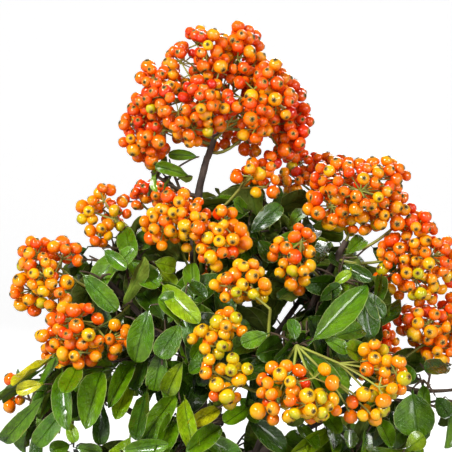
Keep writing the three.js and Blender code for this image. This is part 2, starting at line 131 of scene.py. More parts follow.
def smooth_line(points, count=16):
    """A centripetal Catmull-Rom curve, which runs through all the points."""
    p = [np.array(q, float) for q in points]
    p = [2 * p[0] - p[1], *p, 2 * p[-1] - p[-2]]
    made = []
    for four in zip(p, p[1:], p[2:], p[3:]):
        k = np.cumsum([0] + [np.linalg.norm(b - a) ** 0.5 for a, b in zip(four, four[1:])])
        for t in np.linspace(k[1], k[2], count, endpoint=False):
            a = [mix(four[i], four[i + 1], (t - k[i]) / (k[i + 1] - k[i])) for i in range(3)]
            b = [mix(a[i], a[i + 1], (t - k[i]) / (k[i + 2] - k[i])) for i in range(2)]
            made.append(mix(b[0], b[1], (t - k[1]) / (k[2] - k[1])))
    return Path([*made, p[-2]])


# %% [markdown]
# ## Where the viewer stands
# The camera's place comes early, because the largest leaves are arranged as a florist does it: walk round
# to the front, look along the line of sight, and set the leaf where that line meets the crown. A place is
# then written as it is seen over the middle plane of the shrub, in millimetres across and up.

# %% The line of sight
EYE = np.array([2.5, -800.0, 252.0])
FRAME_WIDTH = 280


def front_of(centre, reach, x, z, depth):
    """Where the sight line over (x, z) meets a mass, at a share of its reach, or passes it closest."""
    way = unit(np.array([x, 0.0, z]) - EYE)
    start, step = (EYE - centre) / (reach * depth), way / (reach * depth)
    nearest = -np.dot(start, step) / np.dot(step, step)
    inside = nearest**2 - (np.dot(start, start) - 1) / np.dot(step, step)
    return EYE + way * (nearest - math.sqrt(max(inside, 0)))


def seen(place):
    """Where a place is seen over the middle plane: across and up."""
    place = np.asarray(place, float)
    share = -EYE[1] / (place[..., 1:2] - EYE[1])
    return EYE[[0, 2]] + (place[..., [0, 2]] - EYE[[0, 2]]) * share


# %% [markdown]
# ## The shrub's plan
# A plan keeps a plant under control. One line gives the trunk, one row gives each bough, and one row gives
# each mass of leaves or berries: the limb it hangs on, how far along, the middle of its space and how far
# it reaches each way. Everything that grows later keeps to these spaces, so the crown has the outline and
# the gaps of the model, and no leaf strays from its own bough.

# %% The trunk and the boughs
TRUNK_LINE = [
    (0, 0, 0), (-2, 1, 20), (-7, 3, 60), (-12, 5, 120),
    (-16, 7, 195), (-17, 3, 250), (-14, -1, 275), (-9, -3, 295),
]
# name: on, along, tip, bow of the middle, radius at the foot and at the end
BOUGHS = {
    "left_bough": ("trunk", 0.59, (-70, -16, 219), -2, 2.5, 1.5),
    "upper_left_bough": ("left_bough", 0.5, (-58, -12, 252), 3, 1.5, 1.1),
    "right_bough": ("trunk", 0.44, (75, -22, 243), -16, 3.2, 2.0),
    "right_low_bough": ("trunk", 0.35, (112, -20, 154), 9, 2.8, 1.5),
    "left_low_bough": ("trunk", 0.4, (-80, -30, 152), 7, 2.6, 1.5),
    "front_bough": ("trunk", 0.28, (36, -80, 166), -14, 2.8, 1.6),
    "front_left_bough": ("trunk", 0.22, (-42, -70, 108), 6, 2.6, 1.5),
    "front_right_bough": ("trunk", 0.19, (62, -58, 100), 5, 2.6, 1.5),
    "back_left_bough": ("trunk", 0.46, (-62, 50, 195), -8, 2.6, 1.5),
    "back_right_bough": ("trunk", 0.5, (58, 54, 212), -10, 2.7, 1.5),
    "back_bough": ("trunk", 0.33, (0, 66, 176), -8, 2.6, 1.5),
    "low_left_bough": ("trunk", 0.14, (-72, 16, 82), 8, 2.5, 1.4),
    "low_right_bough": ("trunk", 0.165, (76, 20, 86), 7, 2.5, 1.4),
    "low_back_bough": ("trunk", 0.11, (4, 68, 82), 8, 2.5, 1.4),
}
print("boughs:", len(BOUGHS))


# %% Limbs
def trunk_radius(u, height=295, foot=6.6, tip=2.1, taper=0.85, flare=4.6, flare_height=9):
    return mix(foot, tip, u**taper) + flare * np.exp(-u * height / flare_height)


def even_taper(foot, tip):
    return lambda u: mix(foot, tip, u)


class Limb:
    """A path, and a function that gives the radius at each share of it."""

    def __init__(self, path, radius):
        self.path = path
        self.radius = radius


def start_on(limb, along, toward):
    """A place just inside a limb's skin, and the way out: ahead at its tip, square to it on its side."""
    point, axis = limb.path.at(along), limb.path.tangent(along)
    if along == 1:
        return point, axis
    out = square_to(np.array(toward) - point, axis)
    return point + out * limb.radius(along) * 0.5, out


limbs = {"trunk": Limb(smooth_line(TRUNK_LINE), trunk_radius)}
for name, (on, along, tip, bow, foot, end) in BOUGHS.items():
    goal = np.array(tip, float)
    start, out = start_on(limbs[on], along, goal)
    lead = start + out * 0.3 * np.linalg.norm(goal - start)
    middle = mix(start, goal, 0.6) + UP * bow
    limbs[name] = Limb(bezier(start, lead, middle, goal), even_taper(foot, end))
# Inside the crown the trunk goes on as a thin leader, which the heads of fruit hang on.
LEADER = [(-9, -3, 294), (-5, -2, 305), (0, 0, 318), (3, 0, 334)]
limbs["leader"] = Limb(smooth_line(LEADER), even_taper(2.1, 1.1))
print("limbs:", len(limbs), "- longest bough %.0f mm" % max(limbs[b].path.length for b in BOUGHS))

# %% [markdown]
# Leaf masses follow the same plan as in the model. The last number of a row is its tone, from 0, a deep
# old green, to 1, the yellow-green of new growth.

# %% Where leaves grow
LEAF_MASSES = {
    "leaves_upper_left": ("left_bough", 1, (-62, -8, 226), (44, 42, 40), 0.35),
    "leaves_lower_left": ("left_low_bough", 1, (-92, -36, 146), (47, 44, 38), 0.45),
    "leaves_centre": ("trunk", 0.55, (-24, -38, 188), (44, 42, 46), 0.3),
    "leaves_front": ("front_bough", 1, (40, -74, 174), (42, 38, 38), 0.3),
    "leaves_front_low": ("front_left_bough", 1, (-32, -80, 116), (52, 42, 38), 0.5),
    "leaves_right": ("right_bough", 0.72, (68, -16, 208), (42, 44, 42), 0.25),
    "leaves_right_low": ("right_low_bough", 1, (116, -20, 146), (44, 44, 40), 0.3),
    "leaves_front_right": ("front_right_bough", 1, (68, -64, 108), (48, 42, 38), 0.4),
    "leaves_back_left": ("back_left_bough", 1, (-68, 54, 200), (46, 44, 46), 0.35),
    "leaves_back": ("back_bough", 1, (0, 76, 190), (46, 44, 50), 0.3),
    "leaves_back_right": ("back_right_bough", 1, (68, 58, 206), (46, 44, 46), 0.4),
    "leaves_low_left": ("low_left_bough", 1, (-84, 16, 84), (50, 48, 44), 0.4),
    "leaves_low_right": ("low_right_bough", 1, (88, 22, 88), (50, 48, 44), 0.35),
    "leaves_low_back": ("low_back_bough", 1, (4, 80, 88), (54, 44, 46), 0.3),
    "leaves_upper": ("trunk", 0.8, (16, 10, 248), (48, 46, 38), 0.3),
    "leaves_top": ("trunk", 0.915, (-40, -8, 284), (24, 18, 14), 0.4),
    "leaves_low_front": ("trunk", 0.1, (0, -46, 60), (54, 44, 40), 0.4),
}

# %% [markdown]
# In a fruit row the ripeness follows the reach, from 0, still green and yellow, to 1, full orange-red. The
# crown of the shrub is one big ball of fruit, but a ball isn't how a firethorn fruits: it is many corymbs
# that press against each other. So the crown gets a corymb for each head that can be told apart, on all its
# sides. A head is seldom whole, so many have an opening, a side with no berries where their stalks show.
# Where the heads of the crown don't quite close, daylight comes through: small windows, seen from the front.

# %% A head of berries
class Corymb:
    """Where a head hangs, its space, its ripeness, its open side, and where its stalks part."""

    def __init__(self, on, along, centre, reach, ripeness, opening=None, width=25, under=-0.7, hub=None):
        self.on, self.along, self.ripeness = on, along, ripeness
        self.centre, self.reach = np.array(centre, float), np.array(reach, float)
        self.opening = None if opening is None else unit(np.array(opening, float))
        self.least_cosine = math.cos(math.radians(width))
        self.under = under
        self.hub = None if hub is None else np.array(hub, float)


# %% Where berries grow
FRONT_HUB = (41, -96, 187)
CORYMBS = [
    Corymb("leader", 0.2, (-45, -12, 307), (20, 22, 21), 0.65),
    Corymb("leader", 0.6, (-34, -12, 333), (21, 23, 23), 0.63, opening=(0.7, -1, 0.1), width=22),
    Corymb("leader", 1, (-11, -15, 353), (23, 23, 23), 0.67, opening=(-0.5, -1, -0.2), width=24),
    Corymb("leader", 1, (10, -8, 357), (21, 23, 22), 0.65, opening=(-0.4, -1, 0), width=20),
    Corymb("leader", 0.8, (26, -18, 333), (23, 23, 24), 0.63, opening=(-0.6, -1, 0.4), width=22),
    Corymb("leader", 0.5, (38, -8, 309), (19, 22, 22), 0.79),
    Corymb("leader", 0.4, (-16, -32, 320), (23, 21, 22), 0.65, opening=(-0.3, -1, 0.4), width=18),
    Corymb("leader", 0.3, (13, -29, 319), (21, 21, 19), 0.63, opening=(-0.3, -0.7, -0.9), width=42),
    Corymb("leader", 0.3, (-41, 16, 320), (20, 22, 26), 0.63, opening=(-0.6, 1, 0.5), width=22),
    Corymb("leader", 0.8, (-20, 22, 344), (22, 24, 23), 0.63),
    Corymb("leader", 0.9, (12, 24, 344), (22, 24, 23), 0.65),
    Corymb("leader", 0.6, (34, 18, 325), (21, 23, 25), 0.77),
    Corymb("leader", 0.4, (-10, 37, 321), (23, 22, 22), 0.65, opening=(0.1, -1, 0.6), width=26),
    Corymb("leader", 0.5, (18, 34, 319), (22, 22, 18), 0.67, opening=(-0.5, 1, 0.1), width=22),
    Corymb("leader", 0.1, (19, 8, 303), (15, 13, 11), 0.67),
    Corymb(
        "upper_left_bough", 1, (-73, -10, 260), (18, 17, 23), 0.38,
        opening=(0.1, -1, 0.15), width=36, under=-1,
    ),
    Corymb("left_bough", 0.9, (-104, -22, 224), (25, 23, 28), 0.54, opening=(0.9, -1, 0.2), width=24),
    Corymb("left_bough", 0.72, (-80, -48, 187), (30, 21, 21), 0.5, opening=(0.6, -0.6, 0.8), width=30),
    Corymb("trunk", 0.76, (-30, -38, 255), (19, 18, 22), 0.44, under=-0.8),
    Corymb("trunk", 0.7, (1, -50, 244), (19, 18, 24), 0.42, opening=(0.7, -0.8, 0.6), width=26, under=-0.8),
    Corymb("trunk", 0.73, (-16, -48, 253), (14, 14, 18), 0.42, under=-0.8),
    Corymb("trunk", 0.87, (19, -14, 280), (21, 17, 17), 0.48, opening=(-0.25, -0.8, -0.55), width=46),
    Corymb("front_bough", 0.97, (12, -70, 218), (22, 17, 16), 0.35, under=-0.8, hub=(27, -86, 206)),
    Corymb("front_bough", 0.82, (0, -86, 192), (19, 15, 17), 0.34, under=-0.8),
    Corymb("front_bough", 0.92, (3, -104, 168), (17, 15, 18), 0.28),
    Corymb(
        "front_bough", 0.97, (43, -116, 164), (29, 17, 21), 0.38,
        opening=(0.1, -0.5, 0.9), width=38, hub=FRONT_HUB,
    ),
    Corymb(
        "front_bough", 0.9, (85, -102, 167), (19, 17, 24), 0.36,
        opening=(-0.6, -0.9, 0.15), width=50, hub=FRONT_HUB,
    ),
    Corymb("front_bough", 0.95, (74, -106, 156), (14, 13, 13), 0.42, hub=FRONT_HUB),
    Corymb("right_bough", 0.97, (112, -26, 255), (16, 16, 17), 0.58, under=-1),
    Corymb("right_bough", 1, (80, -26, 270), (35, 25, 26), 0.54, under=-1),
    Corymb("right_bough", 0.92, (117, -22, 232), (27, 23, 27), 0.5, under=-1),
    Corymb("right_low_bough", 0.9, (130, -14, 190), (27, 22, 24), 0.5, under=-1),
    Corymb(
        "right_bough", 0.82, (45, -44, 232), (18, 16, 23), 0.43,
        opening=(0.3, -1, 0.5), width=34, hub=(46, -54, 243),
    ),
    Corymb("back_right_bough", 0.95, (62, 60, 286), (26, 22, 20), 0.6),
    Corymb("back_left_bough", 0.95, (-40, 51, 270), (30, 20, 15), 0.64),
    Corymb("back_bough", 0.92, (2, 110, 232), (30, 20, 24), 0.52),
    Corymb("back_left_bough", 0.7, (-102, 86, 162), (26, 22, 24), 0.5),
    Corymb("back_right_bough", 0.7, (100, 88, 168), (26, 22, 24), 0.56),
    Corymb("left_low_bough", 0.86, (-126, 10, 149), (15, 15, 16), 0.5),
    Corymb("front_left_bough", 0.86, (-84, -86, 90), (25, 21, 21), 0.45),
]
print("corymbs:", len(CORYMBS))

# %% The model's nodes
FRUIT_NODES = sorted(n for n in frame["nodes"] if "fruit" in n)
LEAF_NODES = sorted(n for n in frame["nodes"] if n.startswith("leaves"))
print("fruit nodes:", len(FRUIT_NODES), "- leaf nodes:", len(LEAF_NODES))

# %% What the berries keep clear
# The crown's windows: across, up, radius.
CROWN_WINDOWS = np.array([
    (-22, 353, 3), (-23, 347, 2), (-28, 327, 2.5), (-33, 305, 1.5), (-19, 364, 1), (-8, 358, 0.5),
    (11, 356, 0.5), (9, 335, 1.5), (3, 341, 0), (28, 304, 2.5),
])
print("windows in the crown:", len(CROWN_WINDOWS))


def depth_in(centre, reach, point):
    """How far out a point lies in an ellipsoid, where 1 is on its surface."""
    return np.linalg.norm((np.asarray(point, float) - centre) / reach, axis=-1)


def in_crown_window(place, radius):
    apart = np.hypot(*(seen(place) - CROWN_WINDOWS[:, :2]).T)
    return (apart < CROWN_WINDOWS[:, 2] + radius).any()


# %% [markdown]
# ## Materials from shared effects
# Leaves, berries and bark all have colour that wanders over their surface. In Blender such a shared effect
# is a node group: built once, with named inputs, and placed in every material with its own values. The
# first group mixes two colours by a soft noise, the second gives a height for small bumps.

# %% Helpers that place and link nodes
def fill(node, inputs):
    """Gives a node's inputs values, or links other nodes to them. A node stands for its first output."""
    for key, value in inputs.items():
        if isinstance(value, bpy.types.Node):
            value = value.outputs[0]
        if isinstance(value, bpy.types.NodeSocket):
            node.id_data.links.new(value, node.inputs[key])
        else:
            node.inputs[key].default_value = value
    return node


def put(tree, kind, inputs=None, **settings):
    """Adds a node, changes its settings and fills its inputs."""
    made = tree.nodes.new(kind)
    for key, value in settings.items():
        setattr(made, key, value)
    return fill(made, inputs or {})


def reckon(tree, operation, *values):
    """A Math node: an operation on one, two or three values."""
    return put(tree, "ShaderNodeMath", dict(enumerate(values)), operation=operation)


def ramp(tree, value, start, end, low, high):
    """A Map Range node: it goes from low to high while the value goes from start to end."""
    return put(tree, "ShaderNodeMapRange", {0: value, 1: start, 2: end, 3: low, 4: high})


def blend(tree, share, first, second, way="MIX"):
    """A Mix node between two colours, by a share."""
    inputs = {0: share, 6: first, 7: second}
    return put(tree, "ShaderNodeMix", inputs, data_type="RGBA", blend_type=way).outputs[2]


def new_group(name, kind, inputs, outputs):
    """A node group with named inputs and outputs, what its inputs give, and its output node."""
    tree = bpy.data.node_groups.new(name, kind)
    for label, (socket, value) in inputs.items():
        made = tree.interface.new_socket(label, in_out="INPUT", socket_type="NodeSocket" + socket)
        if value is not None:
            made.default_value = value
    for label, socket in outputs.items():
        tree.interface.new_socket(label, in_out="OUTPUT", socket_type="NodeSocket" + socket)
    return tree, tree.nodes.new("NodeGroupInput").outputs, tree.nodes.new("NodeGroupOutput")


# %% Wandering colour
WHITE = (1, 1, 1, 1)
wander, given, result = new_group(
    "wandering colour",
    "ShaderNodeTree",
    {
        "First": ("Color", WHITE),
        "Second": ("Color", (0, 0, 0, 1)),
        "Scale": ("Float", 100.0),
        "Sharpness": ("Float", 0.5),
    },
    {"Color": "Color", "Mask": "Float"},
)
place = put(wander, "ShaderNodeTexCoord").outputs["Object"]
noise = put(wander, "ShaderNodeTexNoise", {"Vector": place, "Scale": given["Scale"], "Detail": 3.0})
spread = reckon(wander, "SUBTRACT", 0.4, reckon(wander, "MULTIPLY", given["Sharpness"], 0.35))
low = reckon(wander, "SUBTRACT", 0.5, spread)
high = reckon(wander, "ADD", 0.5, spread)
mask = ramp(wander, noise, low, high, 0.0, 1.0)
fill(result, {"Color": blend(wander, mask, given["First"], given["Second"]), "Mask": mask})

# %% Fine relief
relief, given, result = new_group(
    "fine relief",
    "ShaderNodeTree",
    {"Scale": ("Float", 800.0), "Stretch": ("Vector", (1.0, 1.0, 1.0)), "Height": ("Float", 1.0)},
    {"Height": "Float"},
)
place = put(relief, "ShaderNodeTexCoord").outputs["Object"]
stretched = put(relief, "ShaderNodeVectorMath", {0: place, 1: given["Stretch"]}, operation="MULTIPLY")
noise = put(relief, "ShaderNodeTexNoise", {"Vector": stretched, "Scale": given["Scale"], "Detail": 4.0})
fill(result, {"Height": reckon(relief, "MULTIPLY", noise, given["Height"])})
print("shared effects:", [g.name for g in bpy.data.node_groups])


# %% [markdown]
# A colour is easiest to write as the eye sees it, from 0 to 255, so one helper turns it into the linear
# light that a shader reckons with. Each surface is one Principled shader. What is the same all over, such
# as the coat of wax on a berry, is set on the shader's own socket.

# %% Surfaces
def colour(red, green, blue):
    steps = [v / 255 for v in (red, green, blue)]
    return (*[v / 12.92 if v < 0.04 else ((v + 0.055) / 1.055) ** 2.4 for v in steps], 1)


def surface(name, first, second, scale, roughness, gloss=None):
    """A material whose colour and roughness wander between two values: the material, its tree and shader."""
    material = bpy.data.materials.new(name)
    material.use_nodes = True
    tree = material.node_tree
    values = {"First": colour(*first), "Second": colour(*second), "Scale": scale}
    tint = put(tree, "ShaderNodeGroup", values, node_tree=wander)
    rough = ramp(tree, tint.outputs["Mask"], 0.0, 1.0, *roughness)
    shader = fill(tree.nodes["Principled BSDF"], {"Base Color": tint, "Roughness": rough, **(gloss or {})})
    return material, tree, shader


dusty = surface("calyx", (74, 54, 24), (34, 24, 10), 900, (0.75, 0.9))[0]
rim_skin = surface("berry_rim", (186, 144, 34), (136, 104, 24), 700, (0.4, 0.6))[0]
stalk_skin = surface("green_stalk", (160, 170, 66), (120, 112, 44), 60, (0.45, 0.6))[0]
twig_skin = surface("twig_bark", (62, 46, 38), (92, 74, 50), 70, (0.6, 0.8))[0]
bark, tree, shader = surface("bark", (54, 42, 36), (92, 78, 68), 140, (0.75, 0.95))
grain = put(tree, "ShaderNodeGroup", {"Scale": 900.0, "Stretch": (1, 1, 0.35)}, node_tree=relief)
fill(shader, {"Normal": put(tree, "ShaderNodeBump", {"Height": grain, "Distance": 0.0004, "Strength": 1.0})})
print("materials:", len(bpy.data.materials))

# %% [markdown]
# A berry is a little more yellow round its calyx, and that end is also painted lighter, a glow as of light
# shining through the berry. The berry's mesh carries an attribute, "eye", that is 1 at the calyx and 0 at
# the stalk, and by it the skin goes from the body's colour to the one round the calyx. A clear coat gives
# the waxy shine.

# %% The skins of the berries
BERRY_TINTS = {
    # name: (from this ripeness on, two colours of the body, colour round the calyx with its painted glow)
    "green_yellow": (-9, (206, 180, 8), (222, 172, 10), (176, 172, 14)),
    "yellow": (0.2, (240, 164, 6), (242, 144, 6), (224, 180, 12)),
    "amber": (0.36, (240, 128, 2), (238, 108, 2), (238, 160, 8)),
    "orange": (0.52, (238, 94, 1), (232, 78, 1), (240, 122, 4)),
    "red_orange": (0.72, (230, 66, 1), (222, 50, 1), (234, 92, 3)),
    "red": (0.92, (216, 40, 3), (198, 28, 3), (222, 62, 4)),
}
WAX = {"Specular IOR Level": 0.0, "Coat Weight": 0.9, "Coat Roughness": 0.05, "Coat IOR": 1.65}
berry_skins = {}
for tint, (_, first, second, calyx_yellow_and_glow) in BERRY_TINTS.items():
    berry_skins[tint], tree, shader = surface("berry_" + tint, first, second, 95, (0.26, 0.36), WAX)
    body = shader.inputs["Base Color"].links[0].from_socket
    eye = put(tree, "ShaderNodeAttribute", attribute_name="eye").outputs["Fac"]
    # Painted glow: the skin turns lighter and more yellow towards the calyx.
    share = ramp(tree, eye, 0.45, 0.95, 0.0, 0.85)
    fill(shader, {"Base Color": blend(tree, share, body, colour(*calyx_yellow_and_glow))})
print("berry tints:", list(berry_skins))

# %% [markdown]
# A leaf's skin follows the leaf's own UV map, where U runs across the blade and V from its foot to its
# tip. The distance from the middle gives the midrib and the fine pale rim, and a wave that slants to the tip
# gives the side veins. The same veins are pressed into the blade by a Bump node. Towards its foot the blade
# is mixed with the vein colour: painted shade, darker where the leaf starts. The underside is duller and
# paler.

# %% The skins of the leaves
LEAF_TONES = {
    # name: (from this tone on, two colours of the upper side, two of the underside)
    "deep": (-9, (34, 66, 2), (66, 106, 4), (90, 110, 30), (104, 122, 38)),
    "mid": (0.3, (62, 112, 2), (112, 156, 6), (104, 128, 34), (122, 142, 42)),
    "fresh": (0.6, (112, 160, 6), (166, 192, 18), (128, 150, 40), (144, 160, 46)),
    "young": (0.84, (186, 194, 14), (214, 204, 26), (170, 176, 42), (190, 186, 52)),
}
RIM_COLOUR = (196, 204, 130)
SIDE_VEINS = 58.0


def leaf_surface(name, first, second, roughness, vein_and_shade, coat):
    """A leaf's skin: wandering green, with patches, painted shade at the foot, veins and a rim."""
    gloss = {"Specular IOR Level": 0.3, "Coat Weight": coat, "Coat Roughness": 0.15}
    material, tree, shader = surface(name, first, second, 60, roughness, gloss)
    body = shader.inputs["Base Color"].links[0].from_socket
    blade_map = put(tree, "ShaderNodeUVMap", uv_map="blade")
    across, along, _ = put(tree, "ShaderNodeSeparateXYZ", {0: blade_map}).outputs
    patches = {"First": WHITE, "Second": colour(196, 190, 140), "Scale": 210, "Sharpness": 0.6}
    mottle = put(tree, "ShaderNodeGroup", patches, node_tree=wander)
    spotted = blend(tree, 1.0, body, mottle.outputs["Color"], "MULTIPLY")
    # Painted shade: the half of the blade next to its foot is mixed towards the vein colour, darker there.
    shaded = blend(tree, ramp(tree, along, 0.0, 0.55, 0.45, 0.0), spotted, vein_and_shade)
    away = reckon(tree, "ABSOLUTE", reckon(tree, "SUBTRACT", across, 0.5))
    midrib = ramp(tree, away, 0.012, 0.05, 1.0, 0.0)
    slant = reckon(tree, "MULTIPLY_ADD", away, -0.62, along)
    crest = reckon(tree, "SINE", reckon(tree, "MULTIPLY", slant, SIDE_VEINS))
    veins = reckon(tree, "MAXIMUM", midrib, ramp(tree, crest, 0.75, 1.0, 0.0, 0.3))
    veined = blend(tree, reckon(tree, "MULTIPLY", veins, 0.5), shaded, vein_and_shade)
    rimmed = blend(tree, ramp(tree, away, 0.472, 0.494, 0.0, 0.5), veined, colour(*RIM_COLOUR))
    grain = put(tree, "ShaderNodeGroup", {"Scale": 700, "Height": 1.5}, node_tree=relief)
    height = reckon(tree, "SUBTRACT", grain, veins)
    bump = put(tree, "ShaderNodeBump", {"Height": height, "Distance": 0.0005, "Strength": 0.9})
    fill(shader, {"Base Color": rimmed, "Normal": bump})
    return material


leaf_skins = {}
for tone, (_, first, second, under, under_second) in LEAF_TONES.items():
    # The vein colour also paints the shade at each leaf's foot.
    pale_vein_and_shade = colour(*first)
    dark_vein_and_shade = tuple(0.42 * v for v in pale_vein_and_shade)
    leaf_skins[tone] = (
        leaf_surface("leaf_" + tone, first, second, (0.22, 0.36), dark_vein_and_shade, 0.5),
        leaf_surface("leaf_" + tone + "_underside", under, under_second, (0.6, 0.7), pale_vein_and_shade, 0.0),
    )
print("leaf tones:", list(leaf_skins))

# %% [markdown]
# ## Shapes that repeat
# A leaf of a firethorn is widest beyond its middle, folds a little along its midrib and curls at its tip.
# One formula gives the outline and the bend, so a few sets of numbers give a whole family of leaves. Each
# is a thin closed blade of 72 faces: it is repeated hundreds of times, so it has to stay light.

# %% Leaf shapes
ROWS = np.array([0, 0.1, 0.2, 0.36, 0.54, 0.72, 0.86, 0.94, 0.985])
ACROSS = np.array([-1, -0.5, 0, 0.5, 1])
LEAF_THICK = 0.011
LEAF_SLENDER = 0.5
LEAF_STALK = 0.1
WEDGE = 0.72
LEAF_SHAPES = [
    # fold, curl, wave, twist, sideways bend, and the tip's exponent: the smaller, the blunter
    (0.42, 0.10, 0.020, 0.15, 0.03, 0.42),
    (0.62, 0.16, 0.012, -0.25, -0.04, 0.48),
    (0.28, 0.05, 0.030, 0.10, 0.05, 0.38),
    (0.80, 0.22, 0.015, 0.30, -0.02, 0.46),
    (0.36, -0.06, 0.025, -0.15, 0.04, 0.42),
    (0.52, 0.30, 0.018, 0.20, 0.00, 0.40),
    (0.50, -0.04, 0.012, 0.10, -0.06, 0.85),
]
POINTED = len(LEAF_SHAPES) - 1


def half_width(t, tip):
    """The outline: a slender stalk, a long wedge, and a tip as blunt as its exponent says."""
    s = np.clip((t - LEAF_STALK) / (1 - LEAF_STALK), 1e-6, 1)
    widest = WEDGE / (WEDGE + tip)
    blade = (s / widest) ** WEDGE * ((1 - s) / (1 - widest)) ** tip
    return np.maximum(blade, 0.055 * (t < 0.5))


def leaf_point(t, x, z, shape):
    fold, curl, wave, twist, bend, tip = shape
    w = half_width(t, tip) * LEAF_SLENDER / 2
    flat = x * w
    height = fold * abs(flat) - curl * t * t + z + wave * abs(x) * math.sin(14 * t + 2 * np.sign(x))
    angle = twist * t
    centre = -curl * t * t
    rise = height - centre
    side = flat * math.cos(angle) - rise * math.sin(angle)
    up = flat * math.sin(angle) + rise * math.cos(angle)
    return (side + bend * t * t, t * (1 - 0.12 * abs(curl)), up + centre)


# %% The mesh of a leaf
def leaf_mesh(name, shape):
    """A closed blade. Its upper side and its underside share the rim and the foot."""
    points, cells = [], {}

    def corner(row, column, upper):
        """The number of a corner. The rim and the foot have one corner for both sides."""
        shared = row == 0 or column in (0, len(ACROSS) - 1)
        key = (row, column, upper or shared)
        if key not in cells:
            thick = 0 if shared else LEAF_THICK * (1 if upper else -1)
            cells[key] = len(points)
            points.append(leaf_point(ROWS[row], ACROSS[column], thick, shape))
        return cells[key]

    faces, spots, under = [], [], []
    for upper in (True, False):
        for row in range(len(ROWS)):
            for column in range(len(ACROSS) - 1):
                pairs = [(row, column), (row, column + 1)]
                if row + 1 < len(ROWS):
                    pairs += [(row + 1, column + 1), (row + 1, column)]
                face = [corner(r, c, upper) for r, c in pairs]
                spot = [(ACROSS[c] / 2 + 0.5, ROWS[r]) for r, c in pairs]
                if row + 1 == len(ROWS):
                    face.append("tip")
                    spot.append((0.5, 1.0))
                faces.append(face if upper else face[::-1])
                spots.append(spot if upper else spot[::-1])
                under.append(not upper)
    points.append(leaf_point(1.0, 0.0, 0.0, shape))
    last = len(points) - 1
    faces = [[last if i == "tip" else i for i in face] for face in faces]
    mesh = bpy.data.meshes.new(name)
    mesh.from_pydata(points, [], faces)
    uv = mesh.uv_layers.new(name="blade")
    uv.data.foreach_set("uv", [v for spot in spots for pair in spot for v in pair])
    mesh.attributes.new("underside", "BOOLEAN", "FACE").data.foreach_set("value", under)
    rim = {k for (row, column, _), k in cells.items() if column in (0, len(ACROSS) - 1)} | {last}
    for edge in mesh.edges:
        edge.use_edge_sharp = set(edge.vertices) <= rim
    return mesh


leaf_meshes = [leaf_mesh("leaf_shape_%d" % i, shape) for i, shape in enumerate(LEAF_SHAPES)]
print("leaf shapes:", len(leaf_meshes), "- faces in each:", len(leaf_meshes[0].polygons))

# %% [markdown]
# A berry is a little apple: round, slightly flat, with a dimple where the flower was. The dried calyx stays
# in that dimple as a dark star on a pale rim. A profile turned round an axis gives the body, and the rim and
# the star are two thin lids. The axis points to +Z, and the radius is 1, so that one scale sizes them all.

# %% Turning a profile
def turned(name, profile, sides, starred=False):
    """Turns a profile of (radius, height) round Z. The first and last points lie on the axis."""
    points = [(0, 0, profile[0][1])]
    for radius, height in profile[1:-1]:
        for i in range(sides):
            r = radius * (0.38 if starred and i % 2 else 1)
            a = math.tau * i / sides
            points.append((r * math.cos(a), r * math.sin(a), height))
    points.append((0, 0, profile[-1][1]))
    last, rings = len(points) - 1, len(profile) - 2

    def at(ring, i):
        return 1 + ring * sides + i % sides

    faces = [(0, at(0, i + 1), at(0, i)) for i in range(sides)]
    for ring in range(rings - 1):
        faces += [(at(ring, i), at(ring, i + 1), at(ring + 1, i + 1), at(ring + 1, i)) for i in range(sides)]
    faces += [(at(rings - 1, i), at(rings - 1, i + 1), last) for i in range(sides)]
    mesh = bpy.data.meshes.new(name)
    mesh.from_pydata(points, [], faces)
    eye = [(z - points[0][2]) / (points[-1][2] - points[0][2]) for _, _, z in points]
    mesh.attributes.new("eye", "FLOAT", "POINT").data.foreach_set("value", eye)
    return mesh


# %% Berry, calyx and thorn
def berry_profile(flat, dimple, angles=(152, 124, 96, 68, 42, 20)):
    rings = [(math.sin(math.radians(a)), flat * math.cos(math.radians(a))) for a in angles]
    return [(0, -flat), *rings, (0, flat * math.cos(math.radians(angles[-1])) - dimple)]


# height over width, depth of the dimple, height of the rim and of the star
BERRY_FORMS = [(0.88, 0.06, 0.86, 0.88), (0.82, 0.1, 0.8, 0.82), (0.94, 0.04, 0.91, 0.93)]
berry_meshes, rim_meshes, star_meshes = [], [], []
for i, (flat, dimple, rim, star) in enumerate(BERRY_FORMS):
    rim_profile = [(0, rim - 0.12), (0.45, rim - 0.1), (0.36, rim), (0, rim - 0.04)]
    star_profile = [(0, star - 0.06), (0.37, star + 0.03), (0, star + 0.03)]
    berry_meshes.append(turned("berry_shape_%d" % i, berry_profile(flat, dimple), 10))
    rim_meshes.append(turned("rim_shape_%d" % i, rim_profile, 8))
    star_meshes.append(turned("star_shape_%d" % i, star_profile, 10, starred=True))
thorn_mesh = turned("thorn_shape", [(0, -0.05), (0.075, 0), (0.035, 0.6), (0, 1)], 6)
counts = [len(meshes[0].polygons) for meshes in (berry_meshes, rim_meshes, star_meshes)]
print("faces in a berry, a rim, a star:", *counts)

# %% [markdown]
# ## Geometry Nodes that repeat a shape
# The rules below say only where each thing stands, which way it turns and how large it is. That is a cloud
# of points with named attributes. This tree puts a shape on every point, picks which shape by the attribute
# "kind", and then makes the copies real, because an export keeps real meshes and drops instances. The
# underside of a leaf has a face attribute of its own, so it can take a second material.

# %% The tree that repeats shapes
repeat, given, result = new_group(
    "repeat shapes",
    "GeometryNodeTree",
    {
        "Points": ("Geometry", None),
        "Shapes": ("Collection", None),
        "Size": ("Float", 1.0),
        "Material": ("Material", None),
        "Underside material": ("Material", None),
    },
    {"Geometry": "Geometry"},
)


def named(tree, name, kind="FLOAT"):
    return put(tree, "GeometryNodeInputNamedAttribute", {"Name": name}, data_type=kind)


